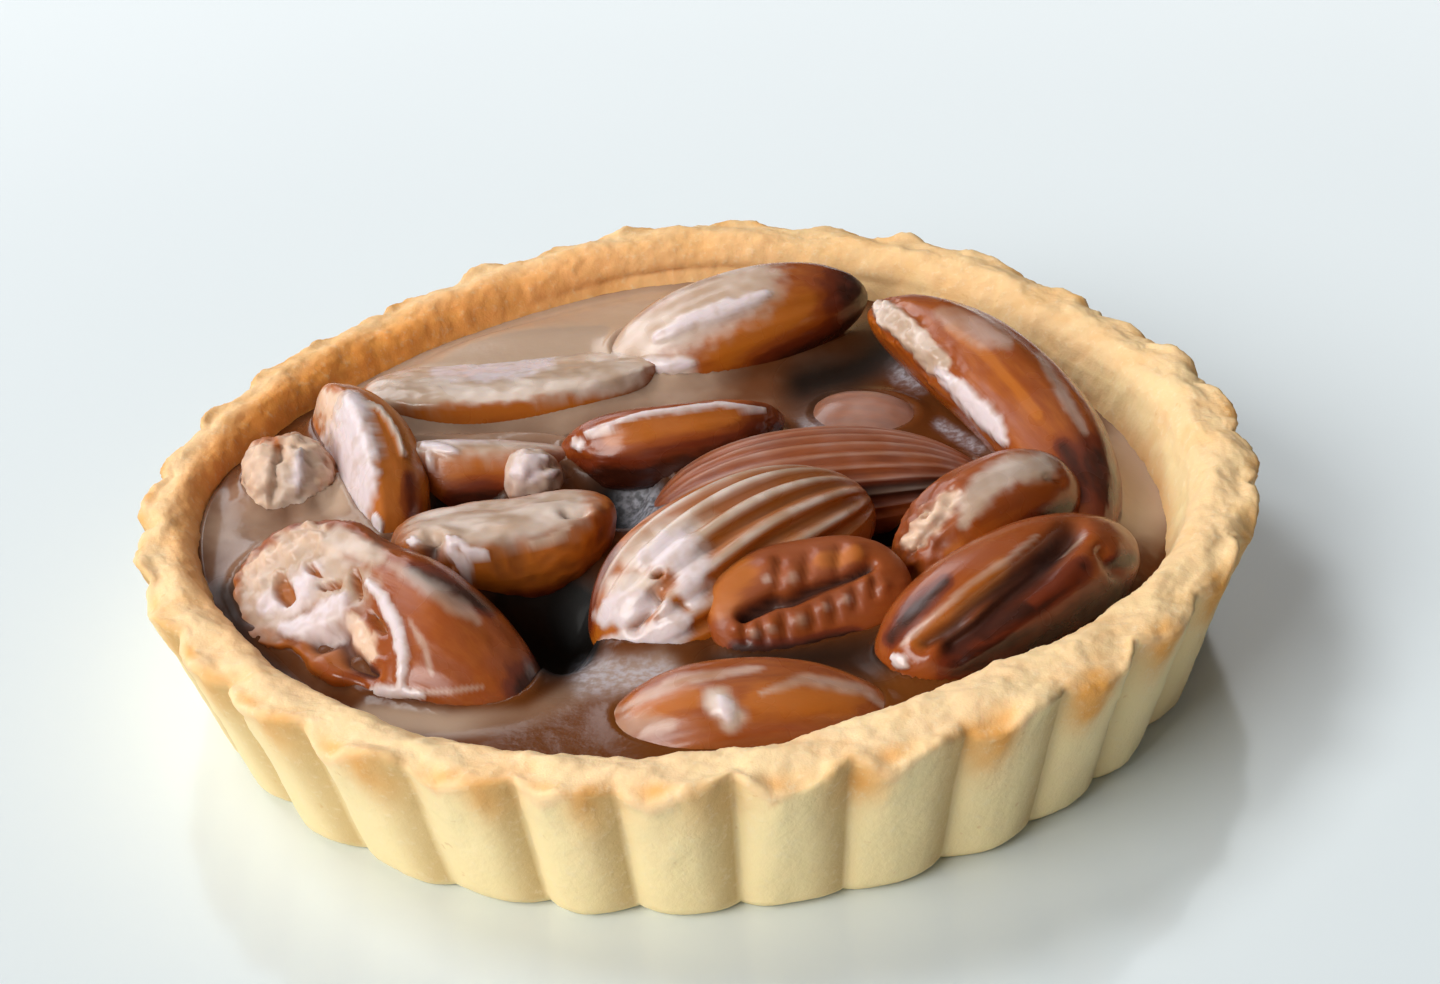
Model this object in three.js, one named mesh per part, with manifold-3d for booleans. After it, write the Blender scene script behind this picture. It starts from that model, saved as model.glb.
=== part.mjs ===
// A small pecan pie: a fluted shortcrust shell, a set caramel filling, and shelled pecan
// halves and pieces pressed into it. Millimetres, +Z up. The origin is the middle of the
// underside, the front is -Y. Each pecan, the filling and the shell are separate solids.
import * as THREE from 'three'
import { mergeVertices } from 'three/addons/utils/BufferGeometryUtils.js'
import Module from 'manifold-3d'

const wasm = await Module()
wasm.setup()

// Driving dimensions of the shell
const rimRadius = 45
const footRadius = 40.6
const shellHeight = 14.4
const lipHeight = 13.4
const innerLipHeight = 12
const rimWidth = 6
const floorThickness = 3
const innerFootRadius = 35.4
const fluteCount = 33
const fluteDepth = 1.4
const valleySharpness = 2.4
const archHeight = 0.9
const shareHanging = 0.4
const footBevel = { width: 0.9, height: 0.8 }
const firstValleyDegrees = 162.6

// Driving dimensions of the filling and the gap that keeps the pieces apart
const fillingLevel = 11.2
const meniscus = 0.7
const clearance = 0.3
const wallClearance = 0.4

// How finely the round forms are divided. A bed is plainer than the pecan that lies in it,
// so it stands off by the depth that its flat sides cut into the round.
const stepsPerFlute = 6
const shellSteps = fluteCount * stepsPerFlute
const fillingSteps = 48
const pecanSides = { around: 16, along: 9 }
const bedSides = { around: 12, along: 8 }
const bedMargin = 0.25

const radians = THREE.MathUtils.degToRad
const { lerp, smoothstep } = THREE.MathUtils

// ---------------------------------------------------------------- solids and meshes

// Only positions are kept, so that shared corners merge into one closed skin.
function closedSkin(geometry) {
  geometry.deleteAttribute('normal')
  geometry.deleteAttribute('uv')
  return mergeVertices(geometry, 1e-4)
}

function toSolid(geometry) {
  const skin = closedSkin(geometry.clone())
  return new wasm.Manifold(new wasm.Mesh({
    numProp: 3,
    vertProperties: new Float32Array(skin.attributes.position.array),
    triVerts: new Uint32Array(skin.index.array),
  }))
}

function toGeometry(solid) {
  const mesh = solid.getMesh()
  const geometry = new THREE.BufferGeometry()
  geometry.setAttribute('position', new THREE.BufferAttribute(mesh.vertProperties, 3))
  geometry.setIndex(new THREE.BufferAttribute(mesh.triVerts, 1))
  return geometry
}

// A cut can leave crumbs beside the piece itself: the largest body is the piece.
function largestBody(solid) {
  const bodies = solid.decompose()
  return bodies.reduce((best, body) => (body.volume() > best.volume() ? body : best))
}

// A skin moved outwards by the clearance, for cutting a bed that a piece lies in.
function grown(geometry, distance) {
  const skin = closedSkin(geometry.clone())
  skin.computeVertexNormals()
  const { position, normal } = skin.attributes
  for (let i = 0; i < position.count; i += 1) {
    position.setXYZ(
      i,
      position.getX(i) + normal.getX(i) * distance,
      position.getY(i) + normal.getY(i) * distance,
      position.getZ(i) + normal.getZ(i) * distance,
    )
  }
  return skin
}

// A lathed skin whose stations are then placed by a rule of angle and station number.
function sweptRound(stationCount, steps, place) {
  const profile = []
  for (let j = 0; j < stationCount; j += 1) profile.push(new THREE.Vector2(1, j))
  const geometry = new THREE.LatheGeometry(profile, steps)
  const { position } = geometry.attributes
  for (let i = 0; i < position.count; i += 1) {
    const step = Math.floor(i / stationCount) % steps
    const { radius, angle, z } = place(step, i % stationCount)
    position.setXYZ(i, radius * Math.cos(angle), radius * Math.sin(angle), z)
  }
  return closedSkin(geometry)
}

// ---------------------------------------------------------------- pastry shell

// Where the pastry was pressed in by hand, the rim swells out and up or sinks.
const swells = [
  { at: 90, spread: 20, out: 1.6, up: 0.9 },
  { at: 60, spread: 12, out: 0.8, up: 0.3 },
  { at: 31, spread: 12, out: -0.7, up: -0.4 },
  { at: 131, spread: 9, out: -0.5, up: -0.3 },
  { at: 152, spread: 10, out: -0.4, up: 0 },
  { at: 180, spread: 18, out: 0.4, up: 0.1 },
  { at: -15, spread: 16, out: 0.5, up: 0.1 },
  { at: -64, spread: 10, out: -0.2, up: -0.4 },
]

function swell(angle, way) {
  return swells.reduce((sum, bump) => {
    const away = THREE.MathUtils.euclideanModulo(angle - radians(bump.at) + Math.PI, 2 * Math.PI) - Math.PI
    return sum + bump[way] * Math.exp(-((away / radians(bump.spread)) ** 2))
  }, 0)
}

// The flutes are round outwards and meet in sharp valleys, 1 on the crest, 0 in a valley.
// The rim folds over them in round arches, which meet in a point hanging down on each crest.
function fluteAngle(step) {
  const even = radians(firstValleyDegrees) + (2 * Math.PI * step) / shellSteps
  return even + radians(0.3) * Math.sin(5 * even + 1) + radians(0.2) * Math.sin(11 * even)
}

function fromCrest(step) {
  return Math.abs((2 * (step % stepsPerFlute)) / stepsPerFlute - 1)
}

function fluteCrest(step) {
  return 1 - fromCrest(step) ** valleySharpness
}

function rimArch(step) {
  return archHeight * (Math.sin((fromCrest(step) * Math.PI) / 2) - shareHanging)
}

function fluteDepthAt(angle) {
  return fluteDepth * (1 + 0.15 * Math.sin(7 * angle) + 0.12 * Math.sin(17 * angle + 2))
}

// The inner wall leans like the outer one. The filling follows it with the same rule.
function innerWallRadius(angle, z) {
  const rise = (z - floorThickness) / (innerLipHeight - floorThickness)
  const leaning = lerp(innerFootRadius, rimRadius - rimWidth, rise)
  const narrowLeft = 0.9 * Math.exp(-(((angle - Math.PI * 1.02) / radians(38)) ** 2))
  const wideRight = 1.2 * Math.exp(-(((angle - radians(298)) / radians(26)) ** 2))
  return leaning + (narrowLeft - wideRight + swell(angle, 'out')) * rise
}

// From the underside, up the fluted wall, over the rounded rim and down to the floor.
const wallRises = [0.45, 0.84]
const rimShare = 0.6
const rimTurns = [0.22, 0.5, 0.8]

function shellStations(step) {
  const angle = fluteAngle(step)
  const crest = fluteCrest(step)
  const out = swell(angle, 'out')
  const up = swell(angle, 'up')
  const relief = fluteDepthAt(angle) * (1 - crest)
  const ragged = 0.15 * Math.sin(23 * angle) + 0.1 * Math.sin(41 * angle + 1)
  const foot = footRadius - 0.7 * relief + ragged
  const wallTop = rimRadius + out - relief
  const lipZ = lipHeight + up + 2 * ragged
  const stations = [
    { radius: 0, z: 0 },
    { radius: foot - footBevel.width, z: 0 },
    { radius: foot, z: footBevel.height },
  ]
  for (const rise of wallRises) {
    stations.push({ radius: lerp(foot, wallTop - 0.5, rise ** 0.85), z: rise * lipZ })
  }
  stations.push({ radius: rimRadius + out - rimShare * relief, z: lipZ + rimArch(step) })
  const inner = innerWallRadius(angle, innerLipHeight)
  for (const turn of rimTurns) {
    const edge = lerp(lipHeight, innerLipHeight, turn ** 2)
    const dome = Math.sin(Math.PI * turn) ** 0.6
    const pressed = 0.12 * Math.sin(19 * angle + 9 * turn) + 0.1 * Math.sin(31 * angle - 7 * turn)
    stations.push({
      radius: lerp(rimRadius + out - rimShare * relief * (1 - turn) ** 2, inner, turn),
      z: edge + up + (shellHeight - edge) * dome + pressed,
    })
  }
  stations.push({ radius: inner, z: innerLipHeight + up })
  stations.push({ radius: innerWallRadius(angle, floorThickness), z: floorThickness })
  stations.push({ radius: 0, z: floorThickness })
  return stations
}

function shellGeometry() {
  const rings = []
  for (let step = 0; step < shellSteps; step += 1) rings.push(shellStations(step))
  return sweptRound(rings[0].length, shellSteps, (step, station) => ({
    ...rings[step][station],
    angle: fluteAngle(step),
  }))
}

// ---------------------------------------------------------------- caramel filling

// The caramel lies higher at the back left, in slow waves, and sinks between crowded pecans.
const hollows = [
  { x: -10.5, y: -15, spread: 3.6, depth: 3.5 },
  { x: -19, y: 2.5, spread: 3, depth: 3 },
  { x: -6, y: 2, spread: 3.2, depth: 2.5 },
  { x: 14.5, y: -5, spread: 2.6, depth: 2.5 },
]

function fillingHeight(x, y) {
  const tilt = -0.026 * x + 0.012 * y
  const waves = 0.25 * Math.sin(x / 6 + 1) * Math.cos(y / 7) + 0.15 * Math.sin(y / 4 + x / 9)
  const sunk = hollows.reduce((sum, hollow) => {
    const away = Math.hypot(x - hollow.x, y - hollow.y) / hollow.spread
    return sum + hollow.depth * Math.exp(-(away ** 2))
  }, 0)
  return fillingLevel + tilt + waves - sunk
}

// Shares of the radius at which the surface is divided, from the wall inwards.
const surfaceRings = [0.94, 0.82, 0.68, 0.56, 0.44, 0.34, 0.22]

function fillingGeometry() {
  const base = floorThickness + clearance
  const stationCount = surfaceRings.length + 4
  return sweptRound(stationCount, fillingSteps, (step, station) => {
    const angle = (2 * Math.PI * step) / fillingSteps
    const edge = innerWallRadius(angle, fillingLevel) - wallClearance
    if (station === 0) return { radius: 0, angle, z: base }
    if (station === 1) return { radius: innerWallRadius(angle, base) - wallClearance, angle, z: base }
    const share = station === 2 ? 1 : (surfaceRings[station - 3] ?? 0)
    const radius = edge * share
    const creep = station === 2 ? meniscus : 0
    const z = fillingHeight(radius * Math.cos(angle), radius * Math.sin(angle)) + creep
    return { radius, angle, z }
  })
}

// ---------------------------------------------------------------- pecans

// A shelled half lies along X with its domed back up. Two long grooves run down the back
// and one deep cleft down the belly. nose and tail say how blunt its two ends are, bend
// drops both ends, crook turns them sideways. crags is the share of the girth chipped off
// where the half is broken, from its tail as far as cragsTo, with the nose at 1. A belly
// below 1 is flat, with a crisp edge all round.
const plainPecan = {
  width: 13,
  height: 9,
  back: 0.64,
  belly: 1,
  nose: 2.2,
  tail: 2.6,
  taper: 0.1,
  bend: 0.06,
  crook: 0,
  grooves: 0.13,
  cleft: 0.2,
  crags: 0,
  cragsTo: 0,
}

function channel(around, atDegrees) {
  return Math.exp(-(((around - radians(atDegrees)) / radians(11)) ** 2))
}

function pecanGeometry(options, sides) {
  const shape = { ...plainPecan, ...options }
  const geometry = new THREE.SphereGeometry(1, sides.around, sides.along)
  const { position } = geometry.attributes
  for (let i = 0; i < position.count; i += 1) {
    const along = THREE.MathUtils.clamp(-position.getY(i), -1, 1)
    const turn = Math.atan2(position.getZ(i), position.getX(i))
    const around = THREE.MathUtils.euclideanModulo(turn, 2 * Math.PI)
    const onAxis = Math.abs(along) > 0.9999
    const blunt = along > 0 ? shape.nose : shape.tail
    const girth = onAxis ? 0 : (1 - Math.abs(along) ** blunt) ** 0.5
    const fade = 1 - along ** 4
    const worn = 1
      - shape.grooves * fade * (channel(around, 67.5) + channel(around, 112.5))
      - shape.cleft * fade * channel(around, 270)
    const aside = Math.sin(around)
    const lift = aside > 0 ? shape.back * aside : (shape.back - 1) * Math.abs(aside) ** shape.belly
    const broken = 1 - smoothstep(along, shape.cragsTo - 0.3, shape.cragsTo + 0.1)
    const chips = Math.sin(7 * along + 3 * around) + Math.sin(11 * along - 5 * around + 1)
    const chipped = 1 - shape.crags * broken * fade * (1 + 0.5 * chips)
    const spread = girth * worn * chipped * (1 - shape.taper * along)
    const arc = along * along - 0.3
    position.setXYZ(
      i,
      (shape.length / 2) * along,
      (shape.width / 2) * spread * Math.cos(around) + shape.crook * shape.length * arc,
      shape.height * lift * spread - shape.bend * shape.length * arc,
    )
  }
  return closedSkin(geometry)
}

// name, the half's own shape, where its middle lies, and how it is turned, in degrees:
// heading in plan, pitch lifts its nose, roll tips its back over.
const pecans = [
  ['pecan_front_left', { length: 32, width: 13.6, height: 9.5, tail: 3.6, crags: 0.08, cragsTo: 0 },
    [-24, -17, 11.2], { heading: -43, pitch: -5, roll: 12 }],
  ['pecan_left_knob', { length: 9, width: 9.4, height: 8, tail: 3, nose: 3, crags: 0.12, cragsTo: 2 },
    [-33.4, 5.4, 11.8], { heading: 15, pitch: 0, roll: 0 }],
  ['pecan_left_on_edge', { length: 25, width: 11, height: 8, nose: 2.4, tail: 2.2, belly: 0.4 },
    [-27.4, 6, 11.6], { heading: -74, pitch: -8, roll: -108 }],
  ['pecan_back_left', { length: 27, width: 13, height: 8, belly: 0.4 },
    [-15.6, 21.4, 11], { heading: 3, pitch: 1, roll: 168 }],
  ['pecan_middle_left', { length: 17, width: 12, height: 9, belly: 0.4 },
    [-17.6, 8.6, 10.2], { heading: -4, pitch: 0, roll: 148 }],
  ['pecan_middle_back', { length: 19.5, width: 12, height: 8.5, belly: 0.4, bend: 0.04 },
    [-1.6, 8.6, 11.6], { heading: 4, pitch: 4, roll: 135 }],
  ['pecan_back', { length: 25.5, width: 11.4, height: 7.6 },
    [4.6, 26.6, 12.6], { heading: 14, pitch: 11, roll: 30 }],
  ['pecan_right_crescent', { length: 38, width: 12.5, height: 9.5, crook: -0.08, bend: 0.05 },
    [26.2, 7.2, 12], { heading: -68, pitch: -6, roll: -46 }],
  ['pecan_centre', { length: 27.5, width: 14, height: 9.5, tail: 3 },
    [3, -12.2, 12], { heading: 38, pitch: 5, roll: 14 }],
  ['pecan_centre_front', { length: 16.5, width: 11, height: 9, nose: 3, tail: 2.4, cleft: 0.34 },
    [8, -19.2, 12.2], { heading: 14, pitch: 2, roll: -140 }],
  ['pecan_centre_back', { length: 29, width: 13, height: 8 },
    [10, 0.8, 9.9], { heading: 4, pitch: 2, roll: 8 }],
  ['pecan_right_upper', { length: 18.5, width: 9.5, height: 9.5, nose: 3.2, crags: 0.1, cragsTo: -0.3 },
    [22.6, -10.4, 12.2], { heading: 34, pitch: 6, roll: 5 }],
  ['pecan_right_lower', { length: 25.5, width: 11.2, height: 9, grooves: 0.22 },
    [23.3, -20.4, 11.7], { heading: 35, pitch: 4, roll: 22 }],
  ['pecan_front', { length: 23, width: 11, height: 8 },
    [3, -30.4, 9], { heading: 2, pitch: 0, roll: 5 }],
  ['pecan_broken', { length: 18.5, width: 13, height: 9.5, belly: 0.4, nose: 3, crags: 0.05, cragsTo: 2 },
    [-15.2, -6.9, 12.8], { heading: 8, pitch: 2, roll: 162 }],
  ['pecan_scrap', { length: 5.5, width: 5, height: 5, nose: 3, tail: 3, crags: 0.12, cragsTo: 2 },
    [-13.2, 3.4, 12], { heading: 0, pitch: 0, roll: 0 }],
  ['pecan_sunk', { length: 13, width: 10, height: 6 },
    [14.8, 12, 9.4], { heading: -8, pitch: 0, roll: 10 }],
]

function pecanMesh([name, shape, middle, turned]) {
  const skin = new THREE.MeshStandardMaterial({ color: 0x8a4a22, roughness: 0.3, metalness: 0 })
  const mesh = new THREE.Mesh(pecanGeometry(shape, pecanSides), skin)
  mesh.name = name
  mesh.position.set(...middle)
  mesh.rotation.set(radians(turned.roll), -radians(turned.pitch), radians(turned.heading), 'ZYX')
  mesh.updateMatrixWorld()
  return mesh
}

// ---------------------------------------------------------------- putting it together

const pie = new THREE.Group()

const pastry = new THREE.MeshStandardMaterial({ color: 0xdfb67c, roughness: 0.85, metalness: 0 })
const shell = new THREE.Mesh(shellGeometry(), pastry)
shell.name = 'crust'
pie.add(shell)

// The smooth hollow that a pecan lies in: its form without grooves, cleft or chips.
function pecanBed([, shape], mesh) {
  const plain = pecanGeometry({ ...shape, grooves: 0, cleft: 0, crags: 0 }, bedSides)
  return toSolid(grown(plain, clearance + bedMargin).applyMatrix4(mesh.matrixWorld))
}

// A pecan laid against earlier ones gives way to them where they would meet.
const beds = []
for (const entry of pecans) {
  const mesh = pecanMesh(entry)
  let solid = toSolid(mesh.geometry.clone().applyMatrix4(mesh.matrixWorld))
  const neighbours = beds.filter((bed) => solid.intersect(bed).volume() > 0)
  for (const bed of neighbours) solid = solid.subtract(bed)
  if (neighbours.length > 0) {
    const back = mesh.matrixWorld.clone().invert()
    mesh.geometry = toGeometry(largestBody(solid)).applyMatrix4(back)
  }
  beds.push(pecanBed(entry, mesh))
  pie.add(mesh)
}

// The filling has a bed for each pecan.
const caramel = new THREE.MeshStandardMaterial({ color: 0x9a6238, roughness: 0.2, metalness: 0 })
let fillingSolid = toSolid(fillingGeometry())
for (const bed of beds) fillingSolid = fillingSolid.subtract(bed)
const filling = new THREE.Mesh(toGeometry(largestBody(fillingSolid)), caramel)
filling.name = 'filling'
pie.add(filling)

export default pie
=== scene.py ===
"""A small pecan pie: shortcrust shell, shelled pecans and set caramel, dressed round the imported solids."""

import math

import bpy
import numpy as np
from mathutils import Matrix, Vector, noise
from mathutils.bvhtree import BVHTree


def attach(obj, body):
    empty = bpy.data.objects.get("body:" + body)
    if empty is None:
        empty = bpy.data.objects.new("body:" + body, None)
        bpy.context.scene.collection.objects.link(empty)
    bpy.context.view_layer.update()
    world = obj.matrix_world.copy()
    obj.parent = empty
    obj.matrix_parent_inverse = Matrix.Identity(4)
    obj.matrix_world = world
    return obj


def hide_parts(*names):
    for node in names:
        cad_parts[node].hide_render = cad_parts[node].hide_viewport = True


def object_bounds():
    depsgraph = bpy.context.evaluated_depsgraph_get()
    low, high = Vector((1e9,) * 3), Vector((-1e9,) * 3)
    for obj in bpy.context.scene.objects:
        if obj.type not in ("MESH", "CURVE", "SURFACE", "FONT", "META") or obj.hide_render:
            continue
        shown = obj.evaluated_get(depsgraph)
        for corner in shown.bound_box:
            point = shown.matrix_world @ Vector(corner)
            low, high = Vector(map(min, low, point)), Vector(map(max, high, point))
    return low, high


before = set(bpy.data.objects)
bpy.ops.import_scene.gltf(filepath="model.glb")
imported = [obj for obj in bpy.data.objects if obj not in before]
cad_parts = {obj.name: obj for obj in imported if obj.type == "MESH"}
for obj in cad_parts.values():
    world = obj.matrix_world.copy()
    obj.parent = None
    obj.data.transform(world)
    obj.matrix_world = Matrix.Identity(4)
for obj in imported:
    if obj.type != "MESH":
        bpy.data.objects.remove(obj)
cad_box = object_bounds()

# ---------------------------------------------------------------- pastry shell
# Shortcrust, pressed by hand into a fluted tin, so its wall has 33 round flutes and its rim
# swells and sinks. It bakes pale low down and golden at the rim, toasted in patches where the
# flutes meet, which are partly painted shade under the lip, and painted shade darkens one flank
# of each flute. Hot caramel soaks the inside of the wall at the back left.
mm = 0.001
rim_radius, rim_width, foot_radius, inner_foot_radius = 45.0, 6.0, 40.6, 35.4
shell_height, lip_height, inner_lip_height, floor_thickness = 14.4, 13.4, 12.0, 3.0
flute_count, flute_depth, first_valley, fold_shift = 33, 1.4, 162.6, 0.3
sand_room = 0.3  # left for the crumb, so that it doesn't stand outside the shell's full size
foot_curl, foot_rise = 0.9, 0.8  # the small round where the wall leaves the base
wall_lean, wall_hollow, rim_round = 0.85, 0.25, 0.6  # how it leans out, bows in and rounds over
foot_press, rim_press, rim_press_fade = 0.7, 0.8, 1.6  # how deep the flutes are there
steps_per_flute, foot_rows, wall_rows, rim_rows, inner_rows = 24, 4, 28, 34, 16
swells = (  # degrees round the rim, spread in degrees, out and up in millimetres
    (90, 20, 1.6, 0.9),
    (60, 12, 0.8, 0.3),
    (31, 12, -0.7, -0.4),
    (131, 9, -0.5, -0.3),
    (152, 10, -0.4, 0.0),
    (180, 18, 0.4, 0.1),
    (-15, 16, 0.5, 0.1),
    (-62, 14, 0.0, 0.35),
)
wall_shifts = ((183.6, 38, 0.9), (298, 26, -1.2))  # degrees, spread, how much wider it is inside
overhangs = ((297, 17, 1.3), (212, 16, 0.45))  # where the rim leans in over the filling
crowded_side, crowding = (246, 14), math.radians(2.4)  # where the flutes sit a little further round
soaked_side = (148, 56)
tan_drop, patch_spread, patch_down, patch_up = 0.9, 0.23, 3.0, 1.2  # the spread is a share of a flute
# Waves round the shell: how far each moves something, how many there are, and where they start.
flute_drift = ((math.radians(0.3), 5, 1), (math.radians(0.2), 11, 0))
ragged_lip = ((0.15, 23, 0), (0.1, 41, 1))
uneven_press = ((0.15, 7, 0), (0.12, 17, 2))


def smoothstep(low, high, value):
    share = np.clip((value - low) / (high - low), 0, 1)
    return share * share * (3 - 2 * share)


def turned_from(angle, degrees):
    return (angle - np.radians(degrees) + np.pi) % (2 * np.pi) - np.pi


def fading(away, reach):
    return np.exp(-((away / reach) ** 2))


def bulge(angle, at, spread):
    """1 at that heading round a piece, and less to both sides of it, in degrees."""
    return fading(turned_from(angle, at), math.radians(spread))


def bulges(angle, places, way=0):
    total = 0 * angle
    for at, spread, *moves in places:
        total += moves[way] * bulge(angle, at, spread)
    return total


def waves(angle, parts):
    return sum(far * np.sin(count * angle + start) for far, count, start in parts)


def inner_wall_radius(angle, z):
    rise = (z - floor_thickness) / (inner_lip_height - floor_thickness)
    leaning = inner_foot_radius + (rim_radius - rim_width - inner_foot_radius) * rise
    shift = bulges(angle, wall_shifts) + bulges(angle, swells)
    return leaning + shift * rise - bulges(angle, overhangs) * rise**4


def closed_skin(name, rows, start, end, marks):
    """A closed mesh from rows of points round it, in millimetres, with a pole at each end."""
    count, columns = rows.shape[:2]
    points = np.concatenate([rows.reshape(-1, 3), [start, end]]) * mm
    here = np.arange(columns)
    after = (here + 1) % columns
    faces = []
    for row in range(count - 1):
        low, high = row * columns, (row + 1) * columns
        faces += np.stack([low + here, low + after, high + after, high + here], 1).tolist()
    first, last = count * columns, count * columns + 1
    top = (count - 1) * columns
    faces += [[first, b, a] for a, b in zip(here.tolist(), after.tolist())]
    faces += [[top + a, top + b, last] for a, b in zip(here.tolist(), after.tolist())]
    mesh = bpy.data.meshes.new(name)
    mesh.from_pydata(points.tolist(), [], faces)
    mesh.polygons.foreach_set("use_smooth", [True] * len(mesh.polygons))
    piece = bpy.data.objects.new(name, mesh)
    bpy.context.scene.collection.objects.link(piece)
    for mark, values in marks.items():
        at_poles = [values[0].mean(), values[-1].mean()]
        write_mark(mesh, mark, np.concatenate([values.ravel(), at_poles]))
    return piece


def write_mark(mesh, mark, values):
    layer = mesh.attributes.get(mark) or mesh.attributes.new(mark, "FLOAT", "POINT")
    layer.data.foreach_set("value", np.asarray(values, np.float32))


def add(tree, kind, feeds=None, **settings):
    """A node of a shader or geometry tree, its inputs fed by values or by other nodes' outputs."""
    made = tree.nodes.new(kind)
    for setting, value in settings.items():
        setattr(made, setting, value)
    for socket, value in (feeds or {}).items():
        if isinstance(value, bpy.types.NodeSocket):
            tree.links.new(value, made.inputs[socket])
        else:
            made.inputs[socket].default_value = value
    return made


def sum_node(tree, operation, *terms):
    return add(tree, "ShaderNodeMath", dict(enumerate(terms)), operation=operation).outputs[0]


def mark_node(tree, mark):
    if tree.type == "GEOMETRY":
        return add(tree, "GeometryNodeInputNamedAttribute", {"Name": mark}).outputs[0]
    return add(tree, "ShaderNodeAttribute", attribute_name=mark).outputs["Fac"]


def zigzag(tree, value):
    """1 at each whole number, 0 halfway between."""
    share = sum_node(tree, "FRACT", value)
    return sum_node(tree, "ABSOLUTE", sum_node(tree, "MULTIPLY_ADD", share, 2.0, -1.0))


def tree_with_inputs(name, settings):
    """A Geometry Nodes tree with an input for each setting, its inputs and its output node."""
    tree = bpy.data.node_groups.new(name, "GeometryNodeTree")
    tree.interface.new_socket("Geometry", in_out="INPUT", socket_type="NodeSocketGeometry")
    for label, value in settings.items():
        kind = "NodeSocketFloat" if isinstance(value, float) else "NodeSocketMaterial"
        tree.interface.new_socket(label, in_out="INPUT", socket_type=kind)
    tree.interface.new_socket("Geometry", in_out="OUTPUT", socket_type="NodeSocketGeometry")
    return tree, tree.nodes.new("NodeGroupInput").outputs, tree.nodes.new("NodeGroupOutput")


def grow(piece, tree, settings):
    """Runs a tree on a piece once, with its inputs set, and keeps the plain mesh that it makes."""
    modifier = piece.modifiers.new(tree.name, "NODES")
    modifier.node_group = tree
    for item in tree.interface.items_tree:
        if item.in_out == "INPUT" and item.name in settings:
            modifier[item.identifier] = settings[item.name]
    evaluated = piece.evaluated_get(bpy.context.evaluated_depsgraph_get())
    grown = bpy.data.meshes.new_from_object(evaluated)
    piece.modifiers.remove(modifier)
    piece.data = grown
    return piece


def mixed(tree, share, first, second):
    node = add(tree, "ShaderNodeMix", {"Factor": share}, data_type="RGBA")
    for socket, value in ((6, first), (7, second)):
        if isinstance(value, bpy.types.NodeSocket):
            tree.links.new(value, node.inputs[socket])
        else:
            node.inputs[socket].default_value = (*value, 1)
    return node.outputs[2]


def remapped(tree, value, low, high, to_low=0.0, to_high=1.0):
    feeds = {"Value": value, "From Min": low, "From Max": high, "To Min": to_low, "To Max": to_high}
    return add(tree, "ShaderNodeMapRange", feeds, interpolation_type="SMOOTHSTEP").outputs[0]


def grain_node(tree, size, detail=3.0, roughness=0.6, source=None):
    """Noise with patches of that size in millimetres, on the piece's own coordinates."""
    place = source or add(tree, "ShaderNodeTexCoord").outputs["Object"]
    feeds = {"Vector": place, "Scale": 1 / (size * mm), "Detail": detail, "Roughness": roughness}
    return add(tree, "ShaderNodeTexNoise", feeds).outputs[0]


def emboss(tree, shader, strength, depth, grain):
    """Fine relief from a grain, that deep in millimetres."""
    feeds = {"Strength": strength, "Distance": depth * mm, "Height": grain}
    tree.links.new(add(tree, "ShaderNodeBump", feeds).outputs[0], shader.inputs["Normal"])


def finish_named(name, roughness, coat=0.0, coat_roughness=0.1, glow=0.0, glow_reach=1.0):
    """A new material whose shader has these constant values, its tree and the shader."""
    material = bpy.data.materials.new(name)
    material.use_nodes = True
    shader = material.node_tree.nodes["Principled BSDF"]
    shader.inputs["Roughness"].default_value = roughness
    shader.inputs["Coat Weight"].default_value = coat
    shader.inputs["Coat Roughness"].default_value = coat_roughness
    shader.inputs["Subsurface Weight"].default_value = glow
    shader.inputs["Subsurface Radius"].default_value = (1.0, 0.45, 0.2)
    shader.inputs["Subsurface Scale"].default_value = glow_reach * mm
    return material, material.node_tree, shader


pale_crust, golden_crust = (0.95, 0.77, 0.42), (0.93, 0.65, 0.36)
valley_crust, toasted_crust = (0.60, 0.40, 0.16), (0.80, 0.37, 0.08)
brown_crust, soaked_crust, sandy_speck = (0.66, 0.34, 0.10), (0.97, 0.36, 0.06), (0.92, 0.78, 0.54)
shortcrust, tree, shader = finish_named("baked_shortcrust", 0.72, glow=0.12, glow_reach=1.2)
blotches = grain_node(tree, 5.0, 2.0)
crumb = grain_node(tree, 0.7, 4.0, 0.7)
uneven = remapped(tree, blotches, 0.3, 0.7, -0.18, 0.18)
bake = sum_node(tree, "ADD", mark_node(tree, "bake"), uneven)
colour = mixed(tree, remapped(tree, bake, 0.0, 1.0), pale_crust, golden_crust)
broken_up = remapped(tree, blotches, 0.25, 0.7, 0.6, 1.1)
# Toasted patches, partly painted shade: those under the lip lie where its overhang shades the flute.
patch = sum_node(tree, "MULTIPLY", mark_node(tree, "patch"), broken_up)
colour = mixed(tree, patch, colour, toasted_crust)
colour = mixed(tree, mark_node(tree, "soak"), colour, soaked_crust)
dents = remapped(tree, grain_node(tree, 3.2, 1.5, 0.5), 0.5, 0.34, 0.0, 0.3)
dents = sum_node(tree, "MULTIPLY", dents, mark_node(tree, "bake"))
colour = mixed(tree, dents, colour, toasted_crust)
# Painted shade: the shade mark darkens each flute's flank and the rim turned away from the light.
colour = mixed(tree, mark_node(tree, "shade"), colour, valley_crust)
speckle = remapped(tree, crumb, 0.52, 0.72, 0.0, 0.3)
colour = mixed(tree, speckle, colour, sandy_speck)
dark_grains = remapped(tree, grain_node(tree, 1.1, 2.0), 0.68, 0.78, 0.0, 0.35)
colour = mixed(tree, dark_grains, colour, brown_crust)
tree.links.new(colour, shader.inputs["Base Color"])
emboss(tree, shader, 0.4, 0.25, crumb)

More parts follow.
